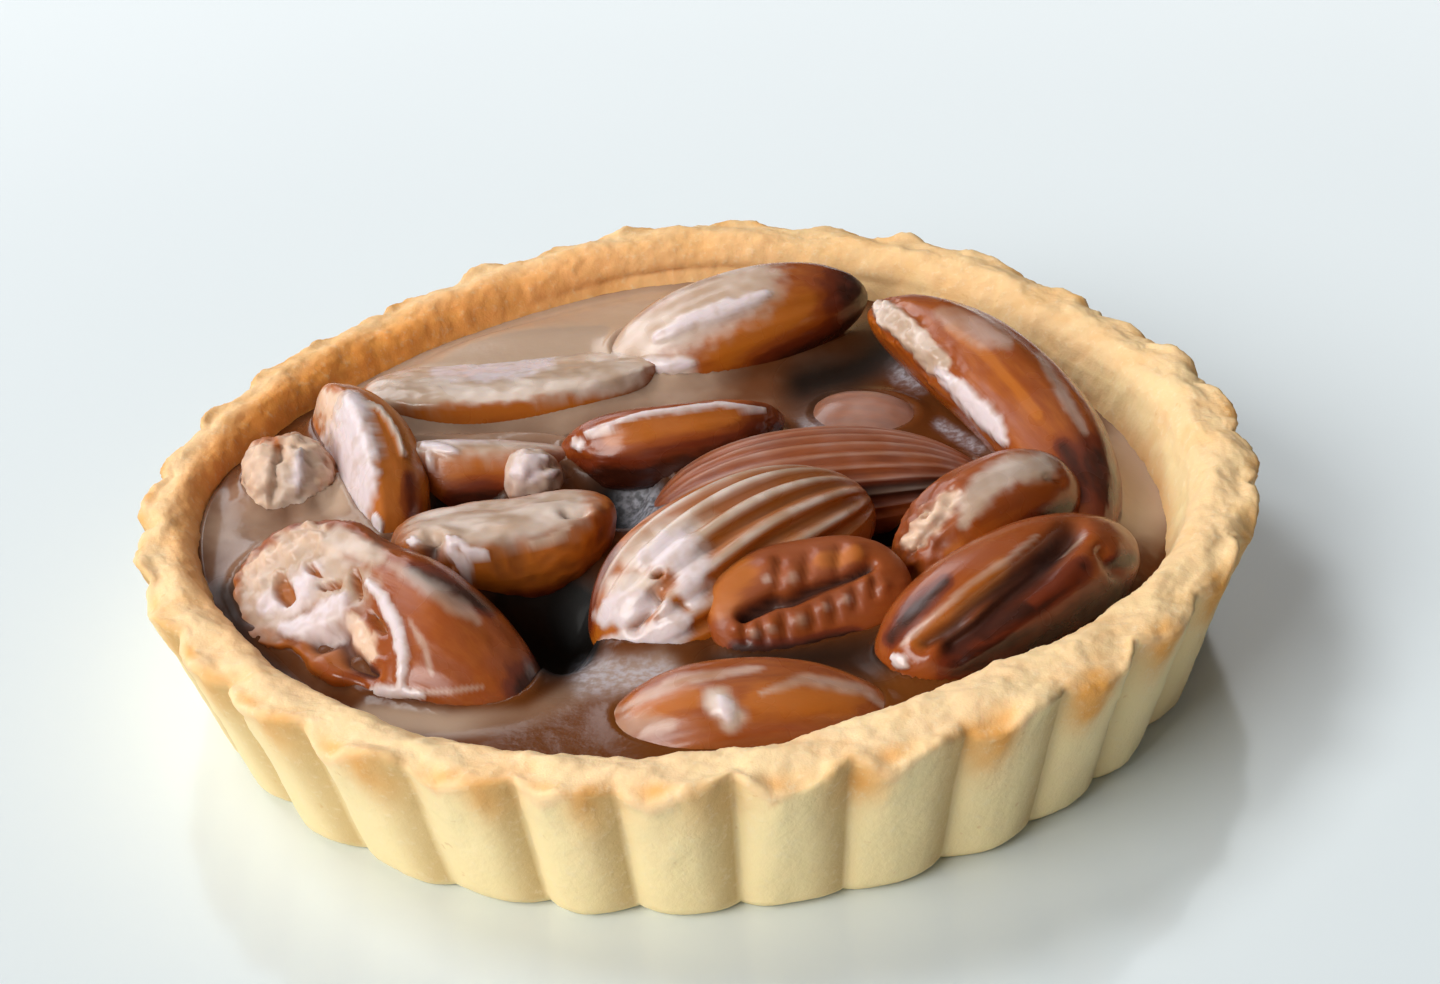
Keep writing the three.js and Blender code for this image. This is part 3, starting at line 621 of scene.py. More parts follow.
pecans = [
    # The large half at the front left: its tail is broken open, with a thick coat on the break, its pale
    # colour a painted reflection.
    pecan("pecan_front_left", (-24, -17, 11.2), -43, -5, 12, length=32, width=13.6, height=9.5, tail=3.6,
          crags=0.06, crags_to=0, grooves=0.02, tone=0.5, film=0.05,
          cuts=(((-28.5, -12, 16.0), (-0.45, -0.35, 0.82)),),
          pale=((1.3, (-33.4, -15.4, 13.5), (-30.8, -16.4, 15.1), (-29.2, -15.4, 16.3)),
                (1.2, (-31.6, -18, 12.9), (-29.8, -18.6, 13.6), (-27.5, -19.2, 15), (-26.9, -18.4, 15.5)),
                (0.5, (-24.9, -18.3, 16.7), (-23.7, -20, 16.2), (-22.6, -22.1, 14.9), (-22.2, -24.2, 13.7),
                 (-22.7, -25.1, 11.4)),
                (0.6, (-25.6, -25.5, 10.5), (-24.1, -24.6, 10.9), (-21.1, -25.9, 11.2))),
          flesh=((1.2, (-26.1, -20.8, 14.8), (-25, -22.6, 13.5)),
                 (1.7, (-34.6, -12.8, 14.2), (-32.6, -12.2, 15.8), (-30, -11.4, 16.9), (-28.4, -13, 16.9))),
          rough=((1.5, (-26.1, -20.4, 14.8), (-25, -22.6, 13.5)),
                 (1.6, (-34.3, -12.8, 14.5), (-30, -11, 16.6))),
          cream=((2.4, (-33.4, -15.4, 13.5), (-29.2, -15.4, 16.3), (-27, -17, 16.2)),
                 (1.1, (-28.1, -11, 16.7), (-24.8, -14.2, 16.8))),
          veil=((0.8, (-23.6, -15.6, 16.8), (-19.6, -19, 15.9), (-16.5, -21.4, 14.6)),
                (0.3, (-21.7, -21.9, 15.3), (-20.6, -23.8, 14.1), (-20.1, -25.5, 12.8)),
                (0.25, (-22.3, -25.4, 11), (-18.9, -26.3, 11.6), (-16.4, -26.4, 11.9))),
          pits=((0.75, (-32.1, -14.6, 15.4), (-31.4, -16.7, 14.8)),
                (0.35, (-29.6, -14.9, 16.4), (-28.9, -15.8, 16.2)),
                (0.3, (-28.7, -16.8, 15.8), (-27.2, -17.2, 16.2)),
                (0.3, (-26, -17, 17.1), (-25.7, -18.7, 16)),
                (0.35, (-24.6, -20.5, 15.5), (-23.8, -22, 14.7))),
          relief=((0.9, -1.3, (-29.3, -19.9, 12.7), (-27.4, -20.9, 14), (-26.8, -22, 12.8)),
                  (0.8, -1.4, (-26.3, -22.6, 12.6), (-25.3, -23.3, 11.9)),
                  (1.1, 0.8, (-29.1, -19.8, 10.7), (-27.6, -21.6, 10.7))),
          honey=((1.3, (-36, -12.7, 13), (-34.6, -15.6, 11.6), (-32.4, -18, 10.9), (-30.4, -20.4, 9.8)),
                 (1.2, (-29.3, -19.9, 12.7), (-26.8, -22, 12.8))),
          dark=((1.8, (-12.3, -23.6, 11.2), (-13.6, -25.6, 10.8)),
                (1.0, (-21.6, -15.6, 16), (-15.6, -18.6, 14)),
                (0.7, (-26.3, -22.6, 12.6), (-25.3, -23.3, 11.9)))),
    pecan("pecan_left_knob", (-33.4, 5.4, 11.8), 15, 0, 0, length=9, width=9.4, height=8, tail=3, nose=3,
          crags=0.03, crags_to=2, crag_height=0.2, grooves=0.04, tone=0.05,
          relief=((0.5, -0.7, (-33.7, 5.7, 16.1), (-34.1, 3.4, 15.2), (-34.5, 2, 13)),
                  (1.0, 0.5, (-32.3, 5, 15.3), (-32.4, 3.2, 13.4)), (0.35, -0.5, (-32.5, 6, 15.8))),
          flesh=((2.6, (-32, 7.5, 15.3), (-31.8, 4.3, 15), (-32, 1.5, 12.6)),
                 (2.4, (-36, 5.7, 15), (-36, 1.6, 12.4))),
          rough=((5.0, (-33.4, 4.5, 14.5)),), matt=0.15,
          cream=((2.2, (-33, 3, 14), (-33, 1, 12)),),
          pale=((0.5, (-32.3, 4.9, 15.3), (-32.6, 2.9, 13)), (0.9, (-33, 1.2, 10.9), (-31.2, 2, 10.8)))),
    pecan("pecan_left_on_edge", (-27.4, 6, 11.6), -74, -8, -108, length=25, width=11, height=8, belly=0.4,
          nose=2.4, tail=2.2, tone=0.02, grooves=0.04, cleft=0.05, lumpy=0.4,
          pale=((2.0, (-28, 9.6, 17.4), (-28, 5.9, 16.4), (-28, 3.4, 14.9), (-28.1, 1.1, 11.6)),
                (1.3, (-26.9, 4.8, 16.5), (-26.9, 0.8, 15.1), (-27.2, -1.6, 13)),
                (0.5, (-25.8, -3.2, 13.6), (-25.3, -4.6, 12.9))),
          flesh=((1.5, (-31.7, 14.5, 15.3), (-29.9, 10.7, 16.4), (-29.8, 8.7, 15)),),
          milk=((0.22, (-27.4, 10.4, 17.3), (-25.6, 9.5, 16.7), (-24.4, 6.9, 16.1), (-23.5, 3.8, 15.4)),),
          honey=((1.2, (-25.7, 5.2, 16.6), (-24.3, 0.1, 15.3), (-24.2, -2.7, 14)),),
          dark=((0.8, (-22.9, 1.1, 14.6), (-22.6, -2.2, 12.9)),)),
    pecan("pecan_back_left", (-15.6, 21.4, 11), 3, 1, 168, length=27, width=13, height=8, belly=0.4,
          cleft=0.04, ripples=0, lumpy=0.05, tone=0.35, coat=0.06,
          cream=((2.0, (-22, 20.8, 14), (-12, 21, 13.8)),),
          pale=((1.0, (-22, 21.2, 14), (-12, 21.4, 13.8)),),
          milk=((2.6, (-25.6, 20.6, 13.7), (-18.9, 20.6, 13.8), (-12.8, 20.6, 13.6), (-5.9, 20.6, 13.5)),),
          honey=((1.4, (-25, 16.2, 12.7), (-18.9, 15.6, 12.9), (-12, 16, 12.6), (-6, 17.7, 11.9)),)),
    pecan("pecan_middle_left", (-17.6, 8.6, 10.2), -4, 0, 148, length=17, width=12, height=9, tone=0.42,
          belly=0.4, cleft=0.05, lumpy=0.4,
          pale=((0.3, (-24, 8, 14.3), (-19.9, 7.3, 14.5), (-16.1, 7, 14.5), (-11.4, 8, 13.9)),
                (0.45, (-22.3, 6.4, 14.7), (-20.7, 5.6, 14.8), (-19.4, 4.9, 14.5)),
                (0.25, (-21.9, 5.3, 14.6), (-21.7, 4.5, 13.8))),
          cream=((2.2, (-22, 9.8, 14), (-12, 9.8, 13.6)),),
          honey=((0.9, (-19.2, 4.4, 14.2), (-15.3, 5, 14.3)), (0.9, (-19.9, 3.9, 13.5), (-15.5, 4.4, 13.8))),
          dark=((1.3, (-23.5, 6, 13), (-22.9, 2.7, 12)), (1.5, (-19.8, 2.6, 11), (-15.5, 2.6, 10.8)))),
    pecan("pecan_middle_back", (-1.6, 8.6, 11.6), 4, 4, 135, length=19.5, width=12, height=8.5, bend=0.04,
          tone=0.72, belly=0.4, cleft=0.05, ripples=0.4, lumpy=0.5,
          pale=((0.26, (-8.7, 5.7, 15), (-4.1, 6.3, 16), (2.6, 7.6, 15.7), (6.3, 7.7, 14.8)),
                (0.5, (-9.8, 6.1, 14.1), (-9.5, 5.6, 13.6))),
          honey=((1.2, (-6.2, 4.4, 15.2), (-1.7, 4.8, 15.6), (3.3, 6, 15.6)),),
          dark=((2.3, (-9.4, 3, 11.3), (-4.5, 2.2, 11), (1.8, 2.6, 11.8), (7, 5.5, 12.5)),)),
    pecan("pecan_back", (4.6, 26.6, 12.6), 14, 11, 30, length=25.5, width=11.4, height=7.6, tone=0.4,
          grooves=0.03, lumpy=0.3,
          cream=((2.7, (-6, 23.2, 13.9), (-1.3, 23.2, 15.7), (2.3, 24.8, 16.9), (6, 27, 17.6)),
                 (1.2, (-5, 20.8, 13), (-0.7, 20.3, 12.8))),
          pale=((0.7, (-2.6, 22, 15), (1, 23, 16.2), (4.6, 24, 16.6), (7.4, 25.6, 16.8)),
                (0.6, (-4.2, 20.9, 13.2), (-1.6, 20.4, 13), (0.4, 20.3, 13))),
          honey=((1.5, (3.5, 21.4, 14), (7, 22.8, 15), (10.5, 24.6, 15.5)),),
          dark=((3.4, (15.4, 28.9, 16.2), (16.6, 28, 14.4)),
                (1.7, (7, 20.2, 12), (12.2, 22.4, 12.4), (15.5, 26, 13.2)))),
    pecan("pecan_right_crescent", (26.2, 7.2, 12), -68, -6, -46, length=38, width=12.5, height=9.5,
          crook=-0.08, bend=0.05, grooves=0.02, tone=0.4, lumpy=0.6,
          milk=((1.1, (17.4, 18.6, 17.4), (19.1, 14.3, 17.3), (20.8, 10.4, 16.4)),),
          flesh=((0.5, (17, 19.4, 17.6), (19.6, 14.6, 17.6), (21.4, 10.4, 16.6)),),
          rough=((1.5, (17.4, 18.6, 17.4), (19.1, 14.3, 17.3), (21.1, 9.4, 16.1)),),
          pale=((0.9, (20.9, 9.6, 16), (22.9, 5.4, 15.3), (24.4, 1.8, 14.9), (25, 0.1, 14.4)),),
          veil=((1.2, (22, 17, 18), (27, 11.5, 17.6)), (0.5, (29.7, 10.8, 16.5), (31.9, -0.5, 15))),
          honey=((0.4, (22.4, 13.6, 18.1), (24.6, 9.4, 18), (26.6, 4.4, 17.2), (28, 0.6, 16.4)),),
          dark=((3.4, (32.4, -4.1, 14.2), (33.1, -6.8, 12.9)), (1.0, (29.6, -2.5, 15), (31, -6, 13.6)))),
    pecan("pecan_centre", (3, -12.2, 12), 38, 5, 14, length=27.5, width=14, height=9.5, tail=3, grooves=0.0,
          lobes=((38, 146, 5, 0.15),), tone=0.16, film=0.13, crests=0.9, lumpy=0.5, ripples=0.03, coat=0.16,
          pale=((1.7, (-7.4, -19.6, 12.9), (-5.5, -20.3, 14.1), (-4.2, -20.6, 14.3)),
                (1.7, (-4, -17.1, 16.2), (-1.5, -17.5, 17.2), (-0.6, -18.7, 16.1), (-0.6, -20.6, 14.7)),
                (1.9, (-7.2, -21.3, 10.8), (-3.9, -22.2, 11.6), (-1.6, -22, 13.1)),
                (1.0, (-2.7, -20.8, 14.3), (-2, -22.3, 13))),
          cream=((1.5, (-4.6, -16.4, 16.1), (-2.3, -15.2, 17), (-0.4, -16.2, 17.6)),
                 (1.1, (-6.5, -18.4, 14.6), (-4, -19, 15.4))),
          veil=((1.0, (-1.6, -15.7, 17.3), (1.3, -13.9, 17.7)),),
          dark=((0.9, (-9.2, -19.6, 11.6), (-8.8, -16.6, 13.4), (-6.6, -13.2, 15)),),
          cuts=(((-8.6, -14.6, 12.5), (-0.93, 0.3, 0.1)),),
          relief=((0.45, -0.9, (-5.2, -21.4, 12.7), (-4.3, -21.1, 13.7), (-3.4, -20.4, 14.8)),),
          pits=((0.4, (-3.4, -19, 16), (-2.8, -19.2, 15.9)),)),
    pecan("pecan_centre_front", (8, -19.2, 12.2), 14, 2, -140, length=16.5, width=11, height=9,
          nose=3, tail=2.4, cleft=0.05, grooves=0.03, tone=0.55, ripples=0.15, lumpy=0.5, matt=0.2,
          relief=((0.42, -1.5, (2.9, -22, 13.5), (4.2, -21.4, 13.8), (5.5, -20.9, 14.1),
                   (6.7, -20.6, 13.8), (8.2, -20.1, 14.1), (9.8, -19.6, 14.3), (11.6, -19.1, 14.6),
                   (12.9, -18.5, 15)),
                  (0.5, -0.6, (3.2, -21.8, 13.6), (5.6, -20.8, 14)),
                  *((0.3, -0.32, top, foot) for top, foot in (
                      ((6.1, -18.4, 16.1), (5.8, -20.4, 14.8)), ((8.3, -17.8, 16.1), (7.9, -20, 14.5)),
                      ((10.7, -17.2, 16.1), (10.3, -19.2, 14.7)), ((3.1, -22.8, 13.2), (3, -23.7, 12.3)),
                      ((4.4, -22.5, 13.3), (4.4, -23.8, 12.2)), ((6.1, -21.7, 13.3), (6.1, -23.5, 12.2)),
                      ((8.3, -21.2, 13.4), (8.2, -22.9, 12.4)), ((9.9, -20.2, 13.6), (9.9, -22.3, 12.6)),
                      ((11.6, -19.5, 13.9), (11.5, -21.5, 13.1)), ((13.1, -18.9, 14.3), (13, -20.5, 13.4)))),
                  *((0.9, 0.4, place) for place in (
                      (5.1, -19.1, 15.9), (6.9, -19.6, 15.6), (9.2, -18.4, 15.8), (11.8, -17.8, 15.8))),
                  *((0.6, 0.32, place) for place in (
                      (2.3, -23.1, 13.1), (3.7, -23.3, 12.9), (5, -22.9, 13.1), (7.2, -22.5, 13),
                      (9, -21.2, 13.3), (10.7, -20.5, 13.4), (12.4, -19.3, 14), (13.7, -19.6, 13.7)))),
          # Veil spots on the tops of the bumps are painted highlights.
          veil=((0.35, (5, -20, 15.3)), (0.4, (6.9, -20.1, 15.3)), (0.35, (5, -23.2, 12.9)),
                (0.5, (7.3, -22.4, 13)), (0.4, (3.7, -23.5, 12.8)), (0.35, (9.2, -21.4, 13.3)),
                (0.35, (10.8, -20.7, 13.4))),
          honey=((1.3, (1, -20.6, 14), (3, -18.8, 15.4)), (0.6, (9.2, -18.6, 15.8), (11.8, -18, 15.8))),
          dark=((1.0, (2.4, -24.4, 12), (7.1, -24.3, 11.4), (11.1, -23, 11.6)),)),
    pecan("pecan_centre_back", (10, 0.8, 9.9), 4, 2, 8, length=29, width=13, height=8, grooves=0,
          lobes=((30, 160, 10, 0.07),), tone=0.72, film=0.07, crests=0.24, matt=0.1,
          dark=((0.8, (13, -4, 12.6), (17, -3, 12.2), (21, -1.6, 11.6)),)),
    pecan("pecan_right_upper", (22.6, -10.4, 12.2), 34, 6, 5, length=18.5, width=9.5, height=9.5, nose=3.2,
          crags=0.04, crags_to=-0.3, grooves=0.03, tone=0.5, lumpy=0.6,
          cream=((1.2, (21, -13.6, 16.7), (22.4, -12.3, 17.5), (24.7, -10.4, 17.8), (27.1, -9.2, 17.1)),
                 (0.6, (20.3, -14.9, 15.9), (21, -14.2, 16.4))),
          flesh=((1.1, (16, -15, 14.5), (17.6, -14.4, 16), (19.5, -13.1, 17.2)),),
          rough=((1.5, (16, -15, 14.5), (17.6, -14.4, 16), (19.5, -13.3, 17.2)),),
          relief=((0.35, -0.7, (16.7, -15.5, 14.5)), (0.3, -0.6, (18.1, -14.7, 15.6)),
                  (0.3, -0.5, (19.2, -13.5, 17)), (0.4, -0.4, (27.7, -10, 16.5), (28.6, -9.8, 16))),
          pits=((0.2, (17.3, -13.8, 16.2)), (0.2, (16.2, -15.6, 14.2))),
          honey=((0.9, (19.4, -17.2, 14.4), (20, -17, 14.2)),),
          dark=((0.9, (21.8, -18, 13.6), (24.7, -15.3, 14.5), (27.4, -12.6, 14.4), (29.1, -10.8, 14)),)),
    pecan("pecan_right_lower", (23.3, -20.4, 11.7), 35, 4, 22, length=25.5, width=11.2, height=9, grooves=0,
          tone=0.5, lumpy=0.5,
          relief=((0.75, -1.1, (15.8, -27.6, 13.6), (18.3, -26.9, 14.8), (19.9, -25.9, 15.8),
                   (23.3, -23.5, 16.8), (25.5, -21.4, 17.3), (27.4, -18.3, 16.4)),
                  (1.1, -1.9, (18, -28, 13.2), (20.3, -27.1, 14.2), (23.1, -24.5, 15.3), (25.4, -22.5, 16),
                   (27, -20.7, 16.7), (28.2, -18.3, 16.5)),
                  (0.5, -0.4, (30.4, -18.6, 14.8), (30.7, -20, 14.3), (31.3, -20.1, 13.3))),
          veil=((0.3, (14.1, -27, 13.1), (17, -26.2, 15.2), (19.8, -24.2, 16.4), (22.6, -22.1, 16.8),
                 (25.5, -18.3, 16.6)),
                (0.25, (27.7, -20.2, 16.4), (29.4, -18, 16.4))),
          honey=((0.8, (15.4, -27.6, 13.8), (19.6, -25.6, 16.3), (22.1, -23.9, 17.1)),
                 (0.5, (24.5, -25.2, 14.8), (28, -22.1, 15.2))),
          dark=((0.6, (23.1, -24.5, 15.3), (27, -20.7, 16.7)),
                (1.3, (20.6, -27.6, 13.6), (24.6, -25, 14.4), (28.4, -21.4, 15)),
                (0.9, (31.3, -19.6, 14), (32.8, -17.7, 13.1)),
                (2.2, (18.1, -29.4, 12.2), (27, -25.4, 12.2), (31.6, -21, 12.4)),
                (0.9, (13.4, -25.6, 12.8), (15.6, -24, 14.4), (18, -22.2, 15.4))),
          pale=((0.5, (13.5, -27.3, 12.3), (14.4, -28.2, 12)),)),
    pecan("pecan_front", (3, -30.4, 9), 2, 0, 5, length=23, width=11, height=8, tone=0.42, film=0.05,
          grooves=0, lobes=((40, 140, 2, 0.05),), lumpy=0.5,
          cream=((1.1, (0.6, -31.8, 13), (1.6, -33.6, 12.5)),),
          pale=((0.9, (1.0, -32.2, 13), (1.4, -33.6, 12.4)),),
          veil=((0.5, (3.8, -31.5, 13), (7, -30, 13), (11.4, -30.6, 12), (13, -31.6, 11)),
                (1.2, (-7.5, -32.2, 11.6), (-3, -33.4, 12.2)),
                (0.5, (-7, -31, 12), (-2, -28.6, 12.8), (4, -27.4, 12.6))),
          honey=((1.4, (4, -32.4, 12.8), (9.6, -32.2, 12.2)), (1.0, (-5, -31.4, 12.4), (-1.5, -31, 13)))),
    pecan("pecan_broken", (-15.2, -6.9, 12.8), 8, 2, 162, length=18.5, width=13, height=9.5, nose=3,
          crags=0.03, crags_to=2, crag_height=0.15, tone=0.12, belly=0.4, cleft=0.05, lumpy=0.35,
          cream=((2.4, (-20.5, -8.4, 15.7), (-17.5, -8.8, 16.3), (-14.2, -8.4, 16.3), (-10.5, -7, 15.8)),
                 (1.3, (-12.6, -10.6, 16.2), (-15.3, -11.2, 16.1), (-17.6, -11, 16.2))),
          pale=((0.5, (-22.5, -9.8, 15), (-21.8, -10.8, 15.5)),
                (0.5, (-19.1, -11.8, 16.3), (-18.9, -12.6, 15.1), (-18.1, -13.2, 14.3), (-17.8, -14, 12.5)),
                (0.35, (-18.6, -11.9, 16.3), (-17.8, -12.5, 15.2), (-16.3, -12.8, 15.2))),
          flesh=((0.28, (-13, -12.1, 15), (-11.3, -11.5, 15.1), (-9.7, -10.6, 15.6)),
                 (0.7, (-9.7, -5.4, 15.3))),
          relief=((0.65, -1.4, (-20.4, -11.4, 16.2), (-21.1, -10.6, 13.7)), (0.3, -0.6, (-19.1, -12.7, 14)),
                  (0.4, -0.9, (-10, -9.3, 16.4), (-8.6, -9.2, 16.2))),
          # Its second honey stroke, along the shaded lower side, is painted light.
          honey=((0.5, (-10.5, -11.3, 15.1), (-9, -10.6, 15.2)),
                 (1.3, (-16.7, -13.2, 13.8), (-13.2, -12.4, 13.4), (-9.7, -11.5, 13.6))),
          dark=((1.0, (-5.6, -8, 12.2), (-6.6, -10.6, 10.6)),
                (0.7, (-17.6, -13.6, 10.7), (-13.2, -12.7, 10.2), (-8.6, -11.8, 10.4)),
                (0.4, (-9.4, -9.3, 16.3)), (0.7, (-20.4, -11.4, 15.4), (-21, -10.6, 13)))),
    pecan("pecan_scrap", (-13.2, 3.4, 12), 0, 0, 0, length=5.5, width=5, height=5, nose=3, tail=3,
          crags=0.03, crags_to=2, crag_height=0.2, tone=0.3,
          relief=((0.3, -0.3, (-13.6, 1.4, 13.2), (-11.7, 2.6, 14), (-10.8, 3.6, 13.3)),),
          cream=((3.6, (-13.2, 2.4, 14)),),
          pale=((1.4, (-13.4, 2, 14)), (0.5, (-14.8, 1.6, 13.8), (-13.4, 2.2, 14.8), (-11.8, 3, 14.4)),
                (0.4, (-12, 1.5, 13.6), (-10.9, 2.6, 13.2)))),
    pecan("pecan_sunk", (14.8, 12, 9.4), -8, 0, 10, length=12, width=9, height=4.7, tone=0.8, film=0.27,
          matt=0.05, grooves=0.02),
]

# ---------------------------------------------------------------- caramel
# Milk caramel, poured hot over the pecans. It set glossy and a little wavy, higher at the back
# left, with a rounded edge creeping up whatever it touches, and sank between crowded pecans.
filling_level, falls_right, rises_back = 11.2, 0.034, 0.012
wall_creep, wall_creep_reach, pecan_creep, pecan_creep_reach, farthest_creep = 0.4, 1.1, 1.1, 0.8, 4
surface_rows, surface_columns, into_wall, off_floor = 112, 480, 0.35, 0.1
hollows = (  # gaps it sank in: the middle, how far each reaches sideways and in depth, how deep
    (-11, -15.5, 4.2, 4.2, 5),
    (-11.8, -20.5, 2.8, 2.8, 3),
    (-19, 1.5, 3, 3, 3.5),
    (-6, 1, 3.4, 3.4, 3),
    (14.5, -5, 2.6, 2.6, 2.5),
)
dips = (  # the same for shallow ones, and last the place at the back left where it was poured thick
    (-15, 13.4, 12, 2.0, 1.7),
    (-18, -28, 7, 5, 1.0),
    (-34, 0, 3, 3, 1.0),
    (-13, 29, 12, 3.5, -0.8),
)
moats = (  # where it stands lower along the wall: degrees round, spread, how much lower, how wide
    (132, 42, 1.7, 3.0),
    (5, 52, 1.8, 4.5),
    (214, 24, 2.6, 5.0),
)
# How high and how far it creeps up the pecans that it all but covers.
low_creep = {"pecan_front": (0.45, 1.4), "pecan_sunk": (0.7, 1.1), "pecan_back_left": (0.2, 0.8)}


def lowered(x, y, places):
    return sum(depth * fading(x - at_x, wide) * fading(y - at_y, far)
               for at_x, at_y, wide, far, depth in places)


def caramel_level(x, y):
    ripples = 0.25 * np.sin(x / 6 + 1) * np.cos(y / 7) + 0.15 * np.sin(y / 4 + x / 9)
    tilted = filling_level - falls_right * x + rises_back * y
    return tilted + ripples - lowered(x, y, hollows) - lowered(x, y, dips)


brown_caramel, rich_caramel = (0.12, 0.034, 0.008), (0.14, 0.04, 0.006)
deep_caramel, froth_colour = (0.004, 0.003, 0.002), (0.55, 0.54, 0.60)
caramel, tree, shader = finish_named("set_caramel", 0.22, 0.06, 0.1, glow=0.12, glow_reach=1.6)
shader.inputs["Specular IOR Level"].default_value = 0.36
swirl = grain_node(tree, 7.0, 3.0)
milky = sum_node(tree, "ADD", mark_node(tree, "milk"), remapped(tree, swirl, 0.4, 0.8, 0.0, 0.2))
colour = mixed(tree, remapped(tree, milky, 0.0, 1.0), brown_caramel, milk_caramel)
colour = mixed(tree, mark_node(tree, "rich"), colour, rich_caramel)
colour = mixed(tree, mark_node(tree, "deep"), colour, deep_caramel)
# Froth of fine bubbles, partly painted glints in the gaps and along a pecan's edge.
bubbles = remapped(tree, grain_node(tree, 0.7, 2.0, 0.6), 0.34, 0.68, 0.2, 0.75)
froth = sum_node(tree, "MULTIPLY", mark_node(tree, "froth"), bubbles)
colour = mixed(tree, froth, colour, froth_colour)
tree.links.new(colour, shader.inputs["Base Color"])
satin = sum_node(tree, "MULTIPLY_ADD", mark_node(tree, "deep"), 0.45, 0.2)
tree.links.new(satin, shader.inputs["Roughness"])
emboss(tree, shader, 0.12, 0.4, grain_node(tree, 1.8))

angle = 2 * np.pi * np.arange(surface_columns) / surface_columns
edge = inner_wall_radius(angle, filling_level) + into_wall
base = floor_thickness + off_floor
foot_ring = inner_wall_radius(angle, base) - off_floor
rows = [np.stack([foot_ring * np.cos(angle), foot_ring * np.sin(angle), base + 0 * angle], 1)]
for share in np.linspace(1, 0, surface_rows + 1)[:-1]:
    x, y = edge * share * np.cos(angle), edge * share * np.sin(angle)
    from_wall = edge * (1 - share)
    level = caramel_level(x, y) + wall_creep * fading(from_wall, wall_creep_reach)
    for at, spread, lower, wide in moats:
        level -= lower * bulge(angle, at, spread) * fading(from_wall, wide)
    rows.append(np.stack([x, y, level], 1))
surface = np.stack(rows)

flat = surface[1:].reshape(-1, 3)
climb = np.zeros(len(flat))
for piece in pecans:
    faces = BVHTree.FromObject(piece, bpy.context.evaluated_depsgraph_get())
    found = [faces.find_nearest(Vector(point) * mm, farthest_creep * mm)[3] for point in flat]
    away = np.array([1e9 if reach is None else reach / mm for reach in found])
    high, far = low_creep.get(piece.name.removesuffix("_glazed"), (pecan_creep, pecan_creep_reach))
    climb = np.maximum(climb, high * np.exp(-away / far))
flat[:, 2] += climb
surface[1:] = flat.reshape(surface[1:].shape)
everywhere = surface.reshape(-1, 3)
seen, frayed = as_seen(everywhere), fractal(everywhere * (1, 1, 0.4), 5.0, 2)
# Milky, rich brown, painted shade in the deep gaps, or frothy with fine bubbles from the boil,
# the froth partly painted glints: how strong each stroke is, how far it reaches, and the places
# that it passes.
pool_strokes = {
    "milk": (
        (0.4, 5.0, (-36, -2, 12), (-34, -6, 12)),
        (0.5, 3.0, (-31, 0, 12), (-28, -2, 12)),
        (0.85, 7.0, (-24, 27, 12), (-12, 27, 12), (-4, 30, 12)),
        (0.95, 1.0, (-25, -27, 10.4), (-19, -28.6, 10.2), (-13, -28.6, 10.2), (-9.4, -25.6, 10.3)),
        (1.0, 3.0, (37, 4, 11), (36, -4, 10.5)),
        (0.8, 1.6, (-8.6, -24.6, 10.5), (-3.6, -24.8, 10.6)),
        (0.9, 1.6, (-30.4, 6.5, 12), (-29.6, 2.5, 12)),
        (0.16, 3.0, (0, 17, 11), (10, 15, 11)),
    ),
    "rich": (
        (0.95, 4.6, (-13, -31.6, 10), (-6, -31, 10.3), (4, -33, 10), (14, -31, 10)),
    ),
    "deep": (
        (0.8, 1.6, (1, -24.8, 10.8), (8, -24.6, 10.6), (13, -24, 10.6)),
        (0.9, 2.9, (-13.4, -14, 10), (-11.4, -19, 10)),
        (0.8, 1.0, (-37.5, -9, 11), (-35, -17, 10.5), (-30, -24, 10), (-25.5, -28.5, 9.8)),
        (0.95, 1.9, (10, 18.6, 11), (14, 20.4, 11), (18.4, 24.5, 11)),
    ),
    "froth": (
        (1.0, 1.5, (-4.6, 2.6, 9.5), (-4.0, -0.6, 9.5)),
        (1.0, 1.2, (10.6, 8.4, 11.2), (13.4, 7.6, 11)),
        (0.8, 0.8, (18.8, 20.2, 10.4), (20, 18.8, 10.4)),
        (0.9, 0.45, (20.9, 8.8, 11.4), (23.6, 4.6, 11.2)),
        (0.8, 1.2, (-8.6, -24.4, 10.6), (-3.6, -24.8, 10.7)),
    ),
}
marks = {kind: np.maximum.reduce([
    strength * near_strokes(seen, ((reach, *places),), frayed, 0.9)
    for strength, reach, *places in strokes
]) for kind, strokes in pool_strokes.items()}
# Painted shade, darkest where it sank deepest between the pecans.
shaded = 0.6 * lowered(everywhere[:, 0], everywhere[:, 1], hollows)
marks["deep"] = np.clip(marks["deep"] + shaded, 0, 1)
middle_level = float(caramel_level(0, 0))
caramel_piece = closed_skin("caramel_filling", surface, (0, 0, base), (0, 0, middle_level), {
    mark: values.reshape(surface.shape[:2]) for mark, values in marks.items()
})
caramel_piece.data.materials.append(caramel)
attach(caramel_piece, "root")
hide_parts("filling")

